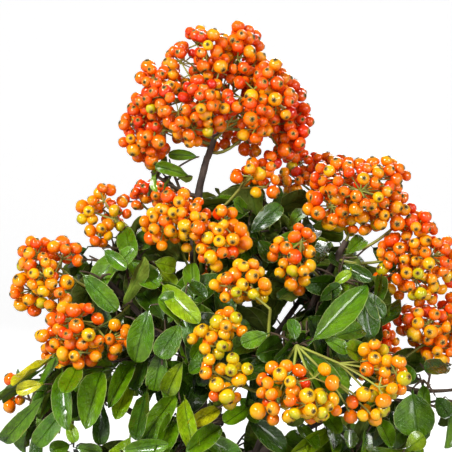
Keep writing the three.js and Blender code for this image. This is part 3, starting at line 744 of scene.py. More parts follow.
shapes = put(
    repeat,
    "GeometryNodeCollectionInfo",
    {"Collection": given["Shapes"], "Separate Children": True, "Reset Children": True},
)
turn = put(repeat, "FunctionNodeEulerToRotation", {0: named(repeat, "turn", "FLOAT_VECTOR")})
sizes = {0: named(repeat, "size", "FLOAT_VECTOR"), 3: given["Size"]}
copies = put(
    repeat,
    "GeometryNodeInstanceOnPoints",
    {
        "Points": given["Points"],
        "Instance": shapes,
        "Pick Instance": True,
        "Instance Index": named(repeat, "kind", "INT"),
        "Rotation": turn,
        "Scale": put(repeat, "ShaderNodeVectorMath", sizes, operation="SCALE"),
    },
)
real = put(repeat, "GeometryNodeRealizeInstances", {0: copies})
soft = put(repeat, "GeometryNodeSetShadeSmooth", {"Geometry": real, "Shade Smooth": True})
skinned = put(repeat, "GeometryNodeSetMaterial", {"Geometry": soft, "Material": given["Material"]})
backed = put(
    repeat,
    "GeometryNodeSetMaterial",
    {
        "Geometry": skinned,
        "Selection": named(repeat, "underside", "BOOLEAN"),
        "Material": given["Underside material"],
    },
)
fill(result, {"Geometry": backed})
print("repeat shapes:", len(repeat.nodes), "nodes")

# %% [markdown]
# Stalks, twigs, boughs and the trunk are all lines with a thickness. The second tree takes lines of edges
# with an attribute "thick" and wraps a round profile along them. Bark also needs relief, so the tree can
# lift the skin by a noise that is drawn out along the limb. For green stalks its depth is just zero.

# %% The tree that gives lines a body
wrap, given, result = new_group(
    "wrap lines",
    "GeometryNodeTree",
    {
        "Lines": ("Geometry", None),
        "Sides": ("Int", 5),
        "Step": ("Float", 0.004),
        "Relief depth": ("Float", 0.0),
        "Relief scale": ("Float", 260.0),
        "Material": ("Material", None),
    },
    {"Geometry": "Geometry"},
)
lines = put(wrap, "GeometryNodeMeshToCurve", {"Mesh": given["Lines"]})
thick = put(wrap, "GeometryNodeSetCurveRadius", {"Curve": lines, "Radius": named(wrap, "thick")})
even = put(wrap, "GeometryNodeResampleCurve", {"Curve": thick, "Length": given["Step"]}, mode="LENGTH")
circle = put(wrap, "GeometryNodeCurvePrimitiveCircle", {"Resolution": given["Sides"], "Radius": 1.0})
radius = put(wrap, "GeometryNodeInputRadius")
swept = {"Curve": even, "Profile Curve": circle, "Scale": radius, "Fill Caps": True}
skin = put(wrap, "GeometryNodeCurveToMesh", swept)
where = put(wrap, "GeometryNodeInputPosition")
drawn = put(wrap, "ShaderNodeVectorMath", {0: where, 1: (1.0, 1.0, 0.3)}, operation="MULTIPLY")
noise = put(wrap, "ShaderNodeTexNoise", {"Vector": drawn, "Scale": given["Relief scale"], "Detail": 3.0})
depth = reckon(wrap, "MULTIPLY", reckon(wrap, "SUBTRACT", noise, 0.5), given["Relief depth"])
normal = put(wrap, "GeometryNodeInputNormal")
offset = put(wrap, "ShaderNodeVectorMath", {0: normal, 3: depth}, operation="SCALE")
lifted = put(wrap, "GeometryNodeSetPosition", {"Geometry": skin, "Offset": offset})
soft = put(wrap, "GeometryNodeSetShadeSmooth", {"Geometry": lifted, "Shade Smooth": True})
real = put(wrap, "GeometryNodeRealizeInstances", {0: soft})
done = put(wrap, "GeometryNodeSetMaterial", {"Geometry": real, "Material": given["Material"]})
fill(result, {"Geometry": done})
print("wrap lines:", len(wrap.nodes), "nodes")

# %% [markdown]
# A finished piece is a plain mesh. The helper below lets a tree run once, keeps what it made and takes the
# modifier away. It sets each input by its identifier, because that is how a modifier stores it.

# %% Running a tree once
HELPERS = ("turn", "size", "kind", "thick", "underside", "radius")
piece_list = []


def grown(name, data, tree, values, nodes):
    """Makes a piece of the shrub from points or lines, and hides the model's nodes that it stands for."""
    piece = bpy.data.objects.new(name, data)
    bpy.context.scene.collection.objects.link(piece)
    modifier = piece.modifiers.new("grow", "NODES")
    modifier.node_group = tree
    for item in tree.interface.items_tree:
        if item.item_type == "SOCKET" and item.in_out == "INPUT" and item.name in values:
            modifier[item.identifier] = values[item.name]
    bpy.context.view_layer.update()
    evaluated = piece.evaluated_get(bpy.context.evaluated_depsgraph_get())
    mesh = bpy.data.meshes.new_from_object(evaluated)
    piece.modifiers.clear()
    piece.data = mesh
    mesh.name = name
    bpy.data.meshes.remove(data)
    for helper in HELPERS:
        if helper in mesh.attributes:
            mesh.attributes.remove(mesh.attributes[helper])
    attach(piece, "root")
    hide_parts(*nodes)
    mesh.calc_loop_triangles()
    print("%-22s %7d triangles" % (name, len(mesh.loop_triangles)))
    piece_list.append(piece)
    return piece


# %% Points and lines for the trees
def cloud(name, rows):
    """Points with a turn, a size and a kind. A row is (place, turn as a matrix, size, kind)."""
    mesh = bpy.data.meshes.new(name + "_points")
    mesh.from_pydata([np.array(row[0]) * MM for row in rows], [], [])
    turns = np.ravel([Matrix(row[1]).to_euler() for row in rows])
    sizes = np.ravel([row[2] for row in rows])
    mesh.attributes.new("turn", "FLOAT_VECTOR", "POINT").data.foreach_set("vector", turns)
    mesh.attributes.new("size", "FLOAT_VECTOR", "POINT").data.foreach_set("vector", sizes)
    mesh.attributes.new("kind", "INT", "POINT").data.foreach_set("value", [row[3] for row in rows])
    return mesh


def lines_mesh(name, strands):
    """Lines of edges. A strand is (points, radii)."""
    points, edges, thick = [], [], []
    for line, radii in strands:
        edges += [(len(points) + i, len(points) + i + 1) for i in range(len(line) - 1)]
        points += [np.array(p) * MM for p in line]
        thick += [r * MM for r in radii]
    mesh = bpy.data.meshes.new(name + "_lines")
    mesh.from_pydata(points, edges, [])
    mesh.attributes.new("thick", "FLOAT", "POINT").data.foreach_set("value", thick)
    return mesh


# %% Sets of shapes, and how they turn
def shape_set(name, meshes):
    made = bpy.data.collections.new(name)
    for mesh in meshes:
        made.objects.link(bpy.data.objects.new(mesh.name, mesh))
    return made


leaf_shapes = shape_set("leaf shapes", leaf_meshes)
berry_shapes = shape_set("berry shapes", berry_meshes)
rim_shapes = shape_set("rim shapes", rim_meshes)
star_shapes = shape_set("star shapes", star_meshes)
thorn_shapes = shape_set("thorn shapes", [thorn_mesh])


def axes(along, face):
    """A turn that lays a shape's +Y along one direction and its +Z towards another."""
    y = unit(along)
    z = square_to(face, y)
    return np.column_stack([np.cross(y, z), y, z])


def axes_up(out):
    """A turn that points a shape's +Z one way, with a chance roll."""
    z = unit(out)
    x = square_to(rng.normal(size=3), z)
    return np.column_stack([x, np.cross(z, x), z])


# %% [markdown]
# ## Berries
# A corymb branches into smaller heads, and each of those holds a tuft of berries that look outward and
# touch. Throwing darts makes such a tuft: try chance places on the small head, keep one only if no other
# berry is in the way, and stop after a number of tries. The small heads make a corymb lumpy and not a ball.

# %% Throwing the berries
BERRY_RADIUS = 4.25
BERRY_SIZES = (0.78, 1.14)  # shares of the radius
BERRY_TOUCH = 0.88  # the least distance of two berries, as a share of both radii together
SMALL_HEAD = 3.6  # millimetres of a corymb's reach for each smaller head
SKIN = 0.15  # the outer share of a small head, where its berries sit
RIPENESS_SPREAD = 0.15
SUNNY_SIDE = 0.1  # how much riper a berry on top is
TRIES = 5.0  # throws, times the square of a corymb's reach in millimetres
CROWN_MIDDLE = np.array([-2.0, 0.0, 322.0])
berries = []  # (place, outward axis, radius, ripeness)
stalks = []  # (points, radii)
leafy_places = []  # (main stalk, axis) of the heads that stand well out at the back
berry_spots = np.empty((0, 4))
middles = np.array([c.centre for c in CORYMBS])
reaches = np.array([c.reach for c in CORYMBS])


def small_heads(head, axis):
    """The middles and the reaches of a corymb's smaller heads, spread evenly on its outer side."""
    count = max(4, round(head.reach.mean() / SMALL_HEAD))
    roll = np.linalg.qr(rng.normal(size=(3, 3)))[0]
    spread = [roll @ spiral_direction(i, count) for i in range(count)]
    spread = [d for d in spread if np.dot(d, axis) > head.under]
    inner = np.array([head.centre + d * head.reach * rng.uniform(0.44, 0.58) for d in spread])
    size = np.array([head.reach * rng.uniform(0.52, 0.66) for _ in spread])
    return inner, size


# %% Filling a corymb
def fill_corymb(number):
    """Berries on the outer sides of one corymb's small heads."""
    global berry_spots
    head = CORYMBS[number]
    axis = unit(head.centre - (CROWN_MIDDLE if head.on == "leader" else limbs[head.on].path.at(head.along)))
    inner, size = small_heads(head, axis)
    other = np.arange(len(CORYMBS)) != number
    kept = []
    for _ in range(int(TRIES * head.reach.mean() ** 2)):
        which = rng.integers(len(inner))
        out = unit(rng.normal(size=3))
        radius = BERRY_RADIUS * rng.uniform(*BERRY_SIZES)
        depth = 1 - SKIN * rng.random() ** 1.5
        place = inner[which] + out * (size[which] * depth - radius)
        outward = unit((place - head.centre) / head.reach)
        if np.dot(outward, axis) < head.under or np.dot(out, outward) < -0.2:
            continue
        if head.opening is not None and np.dot(outward, head.opening) > head.least_cosine:
            continue
        if head.on == "leader" and in_crown_window(place, radius):
            continue
        deep = depth_in(inner, size, place)
        deep[which] = 1
        if deep.min() < 0.5 or depth_in(middles[other], reaches[other] - BERRY_RADIUS, place).min() < 0.75:
            continue
        near = berry_spots[np.abs(berry_spots[:, 0] - place[0]) < 12]
        gap = np.linalg.norm(near[:, :3] - place, axis=1) - (near[:, 3] + radius) * BERRY_TOUCH
        if len(gap) and gap.min() < 0:
            continue
        berry_spots = np.vstack([berry_spots, [*place, radius]])
        ripe = head.ripeness + RIPENESS_SPREAD * rng.normal() + SUNNY_SIDE * outward[2]
        kept.append((place, unit(out + outward), radius, ripe, which))
    return head, axis, inner, kept


# %% Stalks
def shared_ways(hub, forks, least_cosine=0.86):
    """Branches from the hub: forks that lie the same way share one stretch, which parts halfway."""
    left = list(forks)
    while left:
        way = unit(left[0] - hub)
        bunch = [fork for fork in left if np.dot(unit(fork - hub), way) > least_cosine]
        left = [fork for fork in left if np.dot(unit(fork - hub), way) <= least_cosine]
        parting = mix(hub, np.mean(bunch, axis=0), 0.5)
        stalks.append((mix(hub, parting, np.linspace(0, 1, 4)[:, None]), np.linspace(0.85, 0.75, 4)))
        for fork in bunch:
            yield parting, fork


def add_stalks(head, axis, inner, kept):
    """A main stalk from the limb, branches to the small heads, and a thin stalk to each berry."""
    hub = head.hub if head.hub is not None else head.centre - axis * 0.55 * head.reach.mean()
    start, out = start_on(limbs[head.on], head.along, hub)
    main = bezier(start, start + out * 0.35 * np.linalg.norm(hub - start), hub, count=8)
    stalks.append((main.points, np.linspace(1.1, 0.85, 8)))
    if head.centre[1] > 0 and head.on != "leader":
        leafy_places.append((main, axis))
    for parting, fork in shared_ways(hub, inner):
        bend = mix(parting, fork, 0.5) + axis * 1.5
        stalks.append((bezier(parting, bend, fork, count=5).points, np.linspace(0.7, 0.55, 5)))
    for place, outward, radius, ripe, which in kept:
        fork = inner[which]
        facing = unit(0.65 * outward + 0.35 * unit(place - fork) + 0.25 * rng.normal(size=3))
        foot = place - facing * radius * 0.8
        bend = mix(fork, foot, 0.55) - facing * 1.2
        stalks.append((bezier(fork, bend, foot, count=4).points, (0.45, 0.42, 0.42, 0.52)))
        berries.append((place, facing, radius, ripe))


for number in range(len(CORYMBS)):
    add_stalks(*fill_corymb(number))
print("berries:", len(berries))

# %% [markdown]
# Ripening runs from green-yellow through amber and orange to red. Each tint is a piece of its own with a
# material of its own, so the colours stay where they belong in any renderer.

# %% Making the berries
ripe_from = [row[0] for row in BERRY_TINTS.values()]
by_tint = {tint: [] for tint in BERRY_TINTS}
caps = []
for place, facing, radius, ripe in berries:
    kind = int(rng.integers(3))
    row = (place, axes_up(facing), (radius * MM,) * 3, kind)
    by_tint[list(BERRY_TINTS)[sum(ripe >= r for r in ripe_from) - 1]].append(row)
    caps.append(row)
for tint, rows in by_tint.items():
    values = {"Shapes": berry_shapes, "Material": berry_skins[tint]}
    grown("berries_" + tint, cloud(tint, rows), repeat, values, FRUIT_NODES)
for part, shapes, skin in (("rims", rim_shapes, rim_skin), ("stars", star_shapes, dusty)):
    values = {"Shapes": shapes, "Material": skin}
    grown("calyx_" + part, cloud(part, caps), repeat, values, FRUIT_NODES)
values = {"Sides": 4, "Step": 0.004, "Material": stalk_skin}
grown("fruit_stalks", lines_mesh("stalks", stalks), wrap, values, FRUIT_NODES)

# %% [markdown]
# ## Twigs and leaves
# A leaf mass follows the model's own rule: twigs leave one stem and reach out along an even spiral. Here the
# rule goes one step finer. Each twig carries short spurs, and each spur ends in a rosette of leaves, which
# is how a firethorn holds them. A leaf hangs a little and turns its upper side to the light. The largest
# leaves are set one by one. A row gives a leaf's foot and tip as they are seen from the front, its width and
# its tone, and True where its tip is sharp. A tone below 0 shows the underside. A low tone here also paints
# shade: a leaf that lies in shadow gets a darker green. A short spur joins the leaf's foot to the nearest
# twig.

# %% Leaves that are set one by one
# Painted shade: some of the lowest tones, such as 0.15, give a darker green to leaves that lie in shadow.
SET_LEAVES = {
    "leaves_top": [(-19, 283, -41, 289, 8, 0.45), (-14, 295, -33, 297, 7, 0.3)],
    "leaves_upper_left": [
        (-88, 224, -65, 200, 13, 0.5), (-63, 200, -45, 232, 10, -1), (-69, 222, -55, 239, 10, 0.4),
        (-43, 230, -27, 226, 11, 0.62), (-74, 238, -60, 226, 9, 0.3),
    ],
    "leaves_centre": [
        (-38, 217, -20, 196, 14, 0.64), (-21, 217, -12, 209, 9, 0.2), (-44, 203, -56, 168, 17, 0.3),
        (-25, 193, -38, 170, 15, 0.36), (-23, 170, -38, 144, 13, 0.66), (-22, 160, -5, 172, 12, 0.45),
        (-9, 185, -18, 169, 10, 0.3), (-60, 196, -72, 180, 10, 0.25),
    ],
    "leaves_front_low": [
        (-27, 149, -48, 123, 14, 0.5), (-29, 136, -40, 113, 13, 0.45), (-23, 147, -22, 119, 11, 0.8),
        (10, 147, 24, 131, 12, 0.4), (0, 139, -16, 132, 10, 0.95), (1, 129, -19, 114, 13, 0.4),
        (-63, 113, -35, 116, 11, 0.45), (-46, 153, -53, 121, 11, 0.2), (14, 135, 40, 113, 14, 0.15),
        (18, 141, 2, 128, 12, 0.55),
    ],
    "leaves_lower_left": [
        (-53, 169, -70, 147, 11, 0.5), (-55, 162, -65, 135, 12, 0.78), (-73, 164, -87, 133, 17, 0.55),
        (-88, 168, -97, 146, 13, 0.3), (-99, 165, -98, 128, 14, 0.3), (-102, 173, -129, 150, 9, 0.93),
        (-110, 154, -128, 151, 9, 0.9), (-108, 149, -136, 116, 12, 0.5), (-93, 144, -115, 115, 13, 0.42),
        (-74, 143, -75, 116, 11, 0.25), (-93, 117, -107, 112, 10, 0.5), (-92, 115, -74, 112, 9, 0.45),
        (-96, 132, -90, 118, 8, 0.6), (-46, 172, -55, 151, 10, 0.25),
    ],
    "leaves_front": [
        (53, 178, 91, 213, 18, 0.5, True), (66, 182, 89, 190, 13, 0.35), (62, 183, 79, 175, 9, 0.3),
        (98, 168, 74, 175, 15, 0.35), (46, 180, 43, 195, 9, 0.45), (30, 186, 12, 178, 11, 0.3),
    ],
    "leaves_upper": [
        (16, 246, 36, 266, 12, 0.2), (21, 244, 35, 230, 12, 0.45), (30, 240, 50, 246, 10, 0.3),
        (44, 238, 62, 252, 11, 0.15), (40, 250, 54, 266, 9, 0.3),
    ],
    "leaves_right": [
        (87, 216, 93, 183, 14, 0.15), (69, 216, 79, 223, 7, 0.6), (60, 205, 73, 216, 9, 0.2),
        (73, 229, 94, 219, 9, 0.25), (92, 240, 108, 226, 11, 0.2), (99, 222, 96, 208, 9, 0.25),
        (58, 226, 66, 248, 10, 0.2), (76, 234, 88, 246, 10, 0.3), (86, 213, 100, 195, 12, 0.2),
    ],
    "leaves_right_low": [
        (118, 151, 120, 121, 26, 0.32), (132, 147, 142, 134, 12, 0.25), (101, 138, 112, 125, 10, 0.25),
        (142, 166, 125, 160, 13, 0.2), (105, 166, 119, 158, 11, 0.3),
    ],
    "leaves_front_right": [
        (45, 131, 59, 116, 11, 0.45), (70, 126, 45, 113, 11, 0.75), (79, 127, 79, 112, 9, 0.45),
        (89, 126, 89, 112, 9, 0.4), (96, 133, 105, 118, 10, 0.35), (113, 113, 126, 122, 12, 0.6),
        (66, 130, 71, 114, 10, 0.3), (60, 141, 73, 125, 11, 0.4),
    ],
}
print("leaves set one by one:", sum(len(rows) for rows in SET_LEAVES.values()))

# %% [markdown]
# Leaves are easily too many: they would shut the gaps and bury the fruit. So a list keeps what has to stay
# in view from the front, and no leaf of the rule may stand before it: daylight between the leaves, the bark
# of the left bough, the berries at the front, the hubs of their stalks, and later each leaf of the table.
# Daylight stays open at any depth, so its depth is far behind the shrub.

# %% What stays in view
# Daylight, seen from the front: across, up, radius.
LEAF_WINDOWS = np.array([
    (-64, 126, 9), (-83, 126, 6), (-97, 122, 4), (-49, 155, 3), (-131, 135, 6), (-12, 202, 4),
    (-6, 213, 3), (-67, 206, 3.5), (-78, 235, 4), (-48, 121, 3), (9, 123, 6), (19, 202, 3),
    (43, 199, 5), (75, 195, 3.5), (104, 186, 3), (108, 144, 5), (132, 122, 6), (138, 149, 5),
    (138, 201, 4), (126, 158, 3), (-89, 246, 7), (-52, 289, 6),
])
WINDOW_EDGE = 3.5
BARK_ROOM = 7
HUB_ROOM = 7
FAR = 1000
in_view = np.empty((0, 4))  # across, up, room around it, depth


def keep_in_view(places, room, depth):
    global in_view
    places = np.atleast_2d(places)
    columns = [places, np.full(len(places), room), np.full(len(places), depth)]
    in_view = np.vstack([in_view, np.column_stack(columns)])


def hides(place):
    """Whether a place stands before something that stays in view."""
    apart = np.hypot(*(in_view[:, :2] - seen(place)).T)
    return ((apart < in_view[:, 2]) & (place[1] < in_view[:, 3])).any()


keep_in_view(LEAF_WINDOWS[:, :2], LEAF_WINDOWS[:, 2] + WINDOW_EDGE, FAR)
bark_in_view = limbs["left_bough"].path.points[5:22]
keep_in_view(seen(bark_in_view), BARK_ROOM, bark_in_view[:, 1])
for head in CORYMBS:
    if head.centre[1] < -5:
        keep_in_view(seen(head.centre), 0.8 * head.reach[[0, 2]].mean(), head.centre[1])
        if head.hub is not None:
            keep_in_view(seen(head.hub), HUB_ROOM, head.hub[1])
print("things that stay in view:", len(in_view))

# %% Where a leaf fits
LEAF_LENGTH = 40
LEAF_SIZES = (0.72, 1.3)  # shares of the length
SMALLER = (1, 0.82, 0.66)  # a leaf that doesn't fit is tried again at these shares
LEAVES_APART = 6.2
TONE_SPREAD = 0.17
twigs = []  # (points, radii)
leaves = []  # (foot, along, face, length, width, tone, shape)
leaf_spots = np.empty((0, 3))


def out_of_crown(place):
    """The way out of the shrub from a place: away from the trunk."""
    return unit(np.array([place[0] + 14, place[1], 0.0]))


def leaf_fits(centre, reach, base, along, length):
    """A leaf keeps to its mass, stays out of the fruit and leaves room for the leaves around it."""
    tip, middle = base + along * length, base + along * length * 0.6
    if hides(middle) or hides(tip) or hides(base + along * length * 0.3):
        return False
    if max(depth_in(centre, reach, tip), depth_in(centre, reach, middle)) > 1:
        return False
    if (depth_in(middles, reaches, middle) < 0.95).any() or (depth_in(middles, reaches, tip) < 0.85).any():
        return False
    near = leaf_spots[np.abs(leaf_spots[:, 0] - middle[0]) < 30]
    return not len(near) or min(np.linalg.norm(near - s, axis=1).min() for s in (middle, tip)) > LEAVES_APART


# %% Leaves and rosettes
def keep_leaf(foot, along, face, length, width, tone, pointed=False):
    global leaf_spots
    leaves.append((foot, along, face, length, width, tone, POINTED if pointed else rng.integers(POINTED)))
    leaf_spots = np.vstack([leaf_spots, foot + along * length * 0.6, foot + along * length])


def add_leaf(centre, reach, foot, along, tone):
    """Tries a leaf in three sizes. Its upper side looks out of the crown, and the blade lies along it."""
    outward = unit((foot + along * 0.6 * LEAF_LENGTH - centre) / reach)
    face = unit(0.75 * out_of_crown(foot) + 0.35 * outward + 0.3 * UP + 0.33 * rng.normal(size=3))
    along = unit(along - 0.7 * face * np.dot(along, face))
    full = LEAF_LENGTH * min(1, reach.mean() / 34) * rng.uniform(*LEAF_SIZES)
    for share in SMALLER:
        if leaf_fits(centre, reach, foot, along, full * share):
            length = full * share
            width = length * rng.uniform(0.8, 1.1)
            keep_leaf(foot, along, face, length, width, tone + TONE_SPREAD * rng.normal())
            return 1
    return 0


def rosette(centre, reach, tip, axis, count, tone):
    """Leaves round the end of a spur, which open outward and hang."""
    first = square_to(rng.normal(size=3), axis)
    second = np.cross(axis, first)
    made = 0
    for i in range(count):
        turn = GOLDEN_ANGLE * i
        out = first * math.cos(turn) + second * math.sin(turn)
        open_angle = rng.uniform(0.5, 1.25)
        along = unit(axis * math.cos(open_angle) + out * math.sin(open_angle) - UP * rng.uniform(0.1, 0.8))
        made += add_leaf(centre, reach, tip - axis * 1.6 * i, along, tone)
    return made


# %% Setting one leaf
def set_leaf(centre, reach, lines, row):
    """One leaf of the table, on a spur from the nearest point of the mass's own twigs."""
    foot_x, foot_z, tip_x, tip_z, width, tone, *pointed = row
    foot = front_of(centre, reach, foot_x, foot_z, 0.78)
    tip = front_of(centre, reach, tip_x, tip_z, 0.97)
    length = np.linalg.norm(tip - foot)
    wood = np.vstack([line.points for line in lines])
    root = wood[np.argmin(np.linalg.norm(wood - foot, axis=1))]
    spur = bezier(root, mix(root, foot, 0.6) + UP * 2, foot, count=6)
    twigs.append((spur.points, np.linspace(0.75, 0.5, 6)))
    face = unit(unit(EYE - foot) + 0.25 * out_of_crown(foot) + 0.2 * UP + 0.16 * rng.normal(size=3))
    if tone < 0:
        face, tone = -face, 0.5
    for share in (0.3, 0.6, 0.9):
        spot = mix(foot, tip, share)
        keep_in_view(seen(spot), 0.5 * width + 3, spot[1])
    width *= (EYE[1] - foot[1]) / EYE[1] / LEAF_SLENDER
    keep_leaf(foot, unit(tip - foot), face, length, width, tone, pointed)


# %% Growing a leaf mass
TWIGS = 12


def start_mass(name):
    """The stem and the twigs of a mass, with the leaves of the table on them."""
    on, along, centre, reach, tone = LEAF_MASSES[name]
    centre, reach = np.array(centre, float), np.array(reach, float)
    start, out = start_on(limbs[on], along, centre)
    goal = centre + 0.3 * reach.mean() * unit(centre - start)
    lead = start + out * 0.35 * np.linalg.norm(goal - start)
    stem = bezier(start, lead, goal)
    twigs.append((stem.points[::2], np.linspace(1.5, 1.0, 12)))
    count = max(3, round(TWIGS * min(1, reach.mean() / 40)))
    ends = [centre + spiral_direction(i, count) * reach * rng.uniform(0.5, 0.68) for i in range(count)]
    lines = []
    for tip in ends:
        root = stem.at(rng.uniform(0.3, 0.95))
        bend = mix(root, tip, 0.5) + UP * 0.12 * np.linalg.norm(tip - root)
        lines.append(bezier(root, bend, tip, count=10))
    for row in SET_LEAVES.get(name, []):
        set_leaf(centre, reach, [stem, *lines], row)
    return centre, reach, tone, ends, lines


def fill_mass(centre, reach, tone, ends, lines):
    """Rosettes at the ends of the twigs and on short spurs. A twig that carries none is left out."""
    for tip, twig in zip(ends, lines):
        made = rosette(centre, reach, tip, twig.tangent(1), 6, tone)
        for u in (0.45, 0.75):
            axis = twig.tangent(u)
            side = square_to(rng.normal(size=3), axis)
            spur_tip = twig.at(u) + unit(axis + 1.3 * side) * rng.uniform(7, 14)
            if depth_in(centre, reach, spur_tip) > 0.95:
                continue
            if rosette(centre, reach, spur_tip, unit(spur_tip - twig.at(u)), 4, tone):
                twigs.append(([twig.at(u), mix(twig.at(u), spur_tip, 0.5), spur_tip], (0.8, 0.65, 0.5)))
                made += 1
        if made:
            twigs.append((twig.points, np.linspace(1.0, 0.6, 10)))


# %% Spurs on the boughs
def leafy_spurs(name, apart=13, reach=25, tone=0.4):
    """Short spurs along a bough, each with a few leaves, so that the way to its mass isn't bare."""
    limb = limbs[name]
    for k in range(int(0.3 * limb.path.length / apart), int(limb.path.length / apart)):
        u = (k + rng.uniform(0.2, 0.8)) * apart / limb.path.length
        axis = limb.path.tangent(min(u, 1))
        side = unit(square_to(rng.normal(size=3), axis) + 0.4 * UP)
        foot = limb.path.at(u) + side * limb.radius(u) * 0.5
        tip = foot + unit(side + 0.6 * axis) * rng.uniform(5, 11)
        if rosette(tip, np.full(3, float(reach)), tip, unit(tip - foot), 4, tone):
            twigs.append(([foot, mix(foot, tip, 0.5), tip], (0.9, 0.7, 0.55)))


# %% Growing all the leaves
bare_shoot = bezier((110, -21, 154), (126, -30, 152), (143, -36, 156), count=10)
twigs.append((bare_shoot.points, np.linspace(1.5, 1.0, 10)))
started = {name: start_mass(name) for name in LEAF_MASSES}
for name, mass in started.items():
    before = len(leaves)
    fill_mass(*mass)
    print(name, len(leaves) - before, "leaves")
for name in BOUGHS:
    if name.startswith(("low_", "back_")):
        leafy_spurs(name)
for main, axis in leafy_places:
    for share in (0.45, 0.75):
        rosette(main.at(share), np.full(3, 32.0), main.at(share), axis, 6, 0.4)
print("leaves:", len(leaves), "twigs:", len(twigs))

# %% Making the leaves and twigs
tone_starts = [row[0] for row in LEAF_TONES.values()]
by_tone = {tone: [] for tone in LEAF_TONES}
for base, along, face, length, width, tone, shape in leaves:
    size = (width * MM, length * MM, length * MM)
    row = (base, axes(along, face), size, int(shape))
    by_tone[list(LEAF_TONES)[sum(tone >= s for s in tone_starts) - 1]].append(row)
for tone, rows in by_tone.items():
    upper, lower = leaf_skins[tone]
    values = {"Shapes": leaf_shapes, "Material": upper, "Underside material": lower}
    grown("leaves_" + tone, cloud(tone, rows), repeat, values, LEAF_NODES)
values = {"Sides": 6, "Step": 0.003, "Relief depth": 0.0003, "Material": twig_skin}
grown("twigs", lines_mesh("twigs", twigs), wrap, values, LEAF_NODES)

# %% [markdown]
# ## Bark
# The trunk and the boughs are wrapped in the same way, in finer steps and with more relief. The trunk's
# foot is pressed flat, because the shrub is cut there at ground level.

# %% Trunk and boughs
def limb_strand(limb, count=60):
    u = np.linspace(0, 1, count)
    return [limb.path.at(v) for v in u], [limb.radius(v) for v in u]


FOOT_HEIGHT = 0.0013
values = {"Sides": 20, "Step": 0.0016, "Relief depth": 0.0011, "Relief scale": 330.0, "Material": bark}
strands = [limb_strand(limbs["trunk"], 120), limb_strand(limbs["leader"])]
trunk = grown("trunk_bark", lines_mesh("trunk", strands), wrap, values, ["trunk"])
for vertex in trunk.data.vertices:
    if vertex.co.z < FOOT_HEIGHT:
        vertex.co.z = 0
strands = [limb_strand(limbs[name]) for name in BOUGHS]
values = {"Sides": 12, "Step": 0.002, "Relief depth": 0.0006, "Relief scale": 420.0, "Material": bark}
grown("bough_bark", lines_mesh("boughs", strands), wrap, values, list(BOUGHS))

# %% [markdown]
# A firethorn is named for its thorns: stiff straight spines, square to the wood and a little forward. They
# stand along the boughs, a finger's width apart, and point a different way each time.

# %% Thorns
THORNS_APART = 16
thorns = []
for name in BOUGHS:
    limb = limbs[name]
    for k in range(int(limb.path.length / THORNS_APART)):
        u = (k + 0.7) * THORNS_APART / limb.path.length
        if not 0.12 < u < 0.97:
            continue
        axis = limb.path.tangent(u)
        side = square_to(rng.normal(size=3), axis)
        place = limb.path.at(u) + side * limb.radius(u) * 0.7
        thorns.append((place, axes_up(side + 0.5 * axis), (rng.uniform(9, 14) * MM,) * 3, 0))
values = {"Shapes": thorn_shapes, "Material": twig_skin}
grown("thorns", cloud("thorns", thorns), repeat, values, list(BOUGHS))

# %% [markdown]
# ## Floor, light and camera
# A plain pale bowl, flat in the middle and rising gently all round, has no corner and no horizon, so it
# looks like an endless floor from every side. It glows more the further out it is, and far less to any ray
# but the camera's own, so that it stays pale and hardly lights the leaves from below.

# %% Floor
BOWL = [(0.001, 0), (1.6, 0), (2.2, 0.05), (2.6, 0.25), (2.9, 0.7), (3.0, 1.4), (3.0, 2.6)]
SIDES = 64
turns = [math.tau * i / SIDES for i in range(SIDES)]
points = [(r * math.cos(a), r * math.sin(a), z) for r, z in BOWL for a in turns]
faces = []
for row in range(len(BOWL) - 1):
    for i in range(SIDES):
        here, beside = row * SIDES + i, row * SIDES + (i + 1) % SIDES
        faces.append((here + SIDES, beside + SIDES, beside, here))
bowl_mesh = bpy.data.meshes.new("floor")
bowl_mesh.from_pydata(points, [], faces)
bowl_mesh.polygons.foreach_set("use_smooth", [True] * len(faces))
floor = bpy.data.objects.new("floor", bowl_mesh)
bpy.context.scene.collection.objects.link(floor)
paper = bpy.data.materials.new("pale_paper")
paper.use_nodes = True
tree = paper.node_tree
camera_ray = put(tree, "ShaderNodeLightPath").outputs["Is Camera Ray"]
spot = put(tree, "ShaderNodeTexCoord").outputs["Object"]
flat = put(tree, "ShaderNodeVectorMath", {0: spot, 1: (1, 1, 0)}, operation="MULTIPLY")
away = put(tree, "ShaderNodeVectorMath", {0: flat}, operation="LENGTH").outputs["Value"]
far_glow = ramp(tree, away, 0.2, 1.7, 0.3, 0.79)
fill(tree.nodes["Principled BSDF"], {
    "Roughness": 0.9,
    "Base Color": ramp(tree, camera_ray, 0.0, 1.0, 0.35, 0.5),
    "Emission Color": WHITE,
    "Emission Strength": ramp(tree, camera_ray, 0.0, 1.0, 0.04, far_glow),
})
bowl_mesh.materials.append(paper)
print("floor faces:", len(faces))

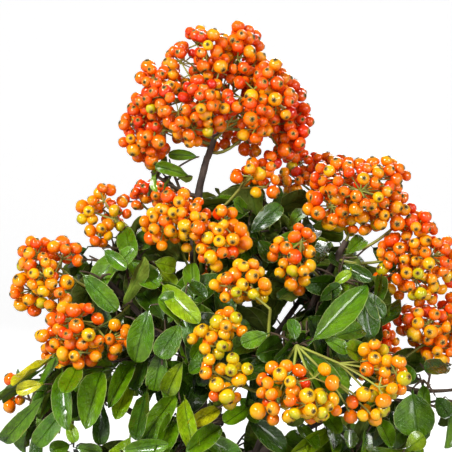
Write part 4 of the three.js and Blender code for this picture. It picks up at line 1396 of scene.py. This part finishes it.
# %% [markdown]
# Soft square lights stand all round, the strongest at the front left, so that every berry shows a small
# bright window of light and a dim side. A pale dome fills the shadows. Glossy rays see it darker than the
# others do, because a bright dome lies over a leaf or a berry like a haze.

# %% Light
world = bpy.data.worlds.new("studio")
bpy.context.scene.world = world
world.use_nodes = True
tree = world.node_tree
glossy_ray = put(tree, "ShaderNodeLightPath").outputs["Is Glossy Ray"]
fill(tree.nodes["Background"], {"Color": WHITE, "Strength": ramp(tree, glossy_ray, 0.0, 1.0, 0.25, 0.1)})


def aim(thing, place, target):
    """Stands a lamp or a camera at a place and turns it to a target."""
    thing.location = place
    direction = Vector(target) - Vector(place)
    thing.rotation_euler = direction.to_track_quat("-Z", "Y").to_euler()


def softbox(name, place, width, power, target=(0, 0, 0.22)):
    data = bpy.data.lights.new(name, "AREA")
    data.shape, data.size, data.energy = "SQUARE", width, power
    lamp = bpy.data.objects.new(name, data)
    bpy.context.scene.collection.objects.link(lamp)
    aim(lamp, place, target)


# name: place, width in metres, power in watts
LAMPS = {
    "key": ((-0.8, -1.0, 0.95), 0.4, 27),
    "fill": ((1.1, -0.9, 0.6), 0.4, 11),
    "back": ((0.3, 1.2, 1.0), 0.8, 20),
    "front": ((0.25, -1.5, 0.35), 0.3, 4),
}
for name, (place, width, power) in LAMPS.items():
    softbox(name, place, width, power)
print("lamps:", list(LAMPS))

# %% Camera
camera_data = bpy.data.cameras.new("camera")
camera_data.lens = camera_data.sensor_width * -EYE[1] / FRAME_WIDTH
camera = bpy.data.objects.new("camera", camera_data)
bpy.context.scene.collection.objects.link(camera)
aim(camera, EYE * MM, EYE * (1, 0, 1) * MM)
bpy.context.scene.camera = camera
bpy.context.scene.view_settings.view_transform = "Standard"
print("camera lens %.0f mm" % camera_data.lens)

# %% [markdown]
# ## Finish
# The shapes that were only patterns are removed.

# %% Finish
for made in (leaf_shapes, berry_shapes, rim_shapes, star_shapes, thorn_shapes):
    for pattern in list(made.objects):
        bpy.data.meshes.remove(pattern.data)
    bpy.data.collections.remove(made)
total = sum(len(p.data.loop_triangles) for p in piece_list)
print("triangles in all:", total)
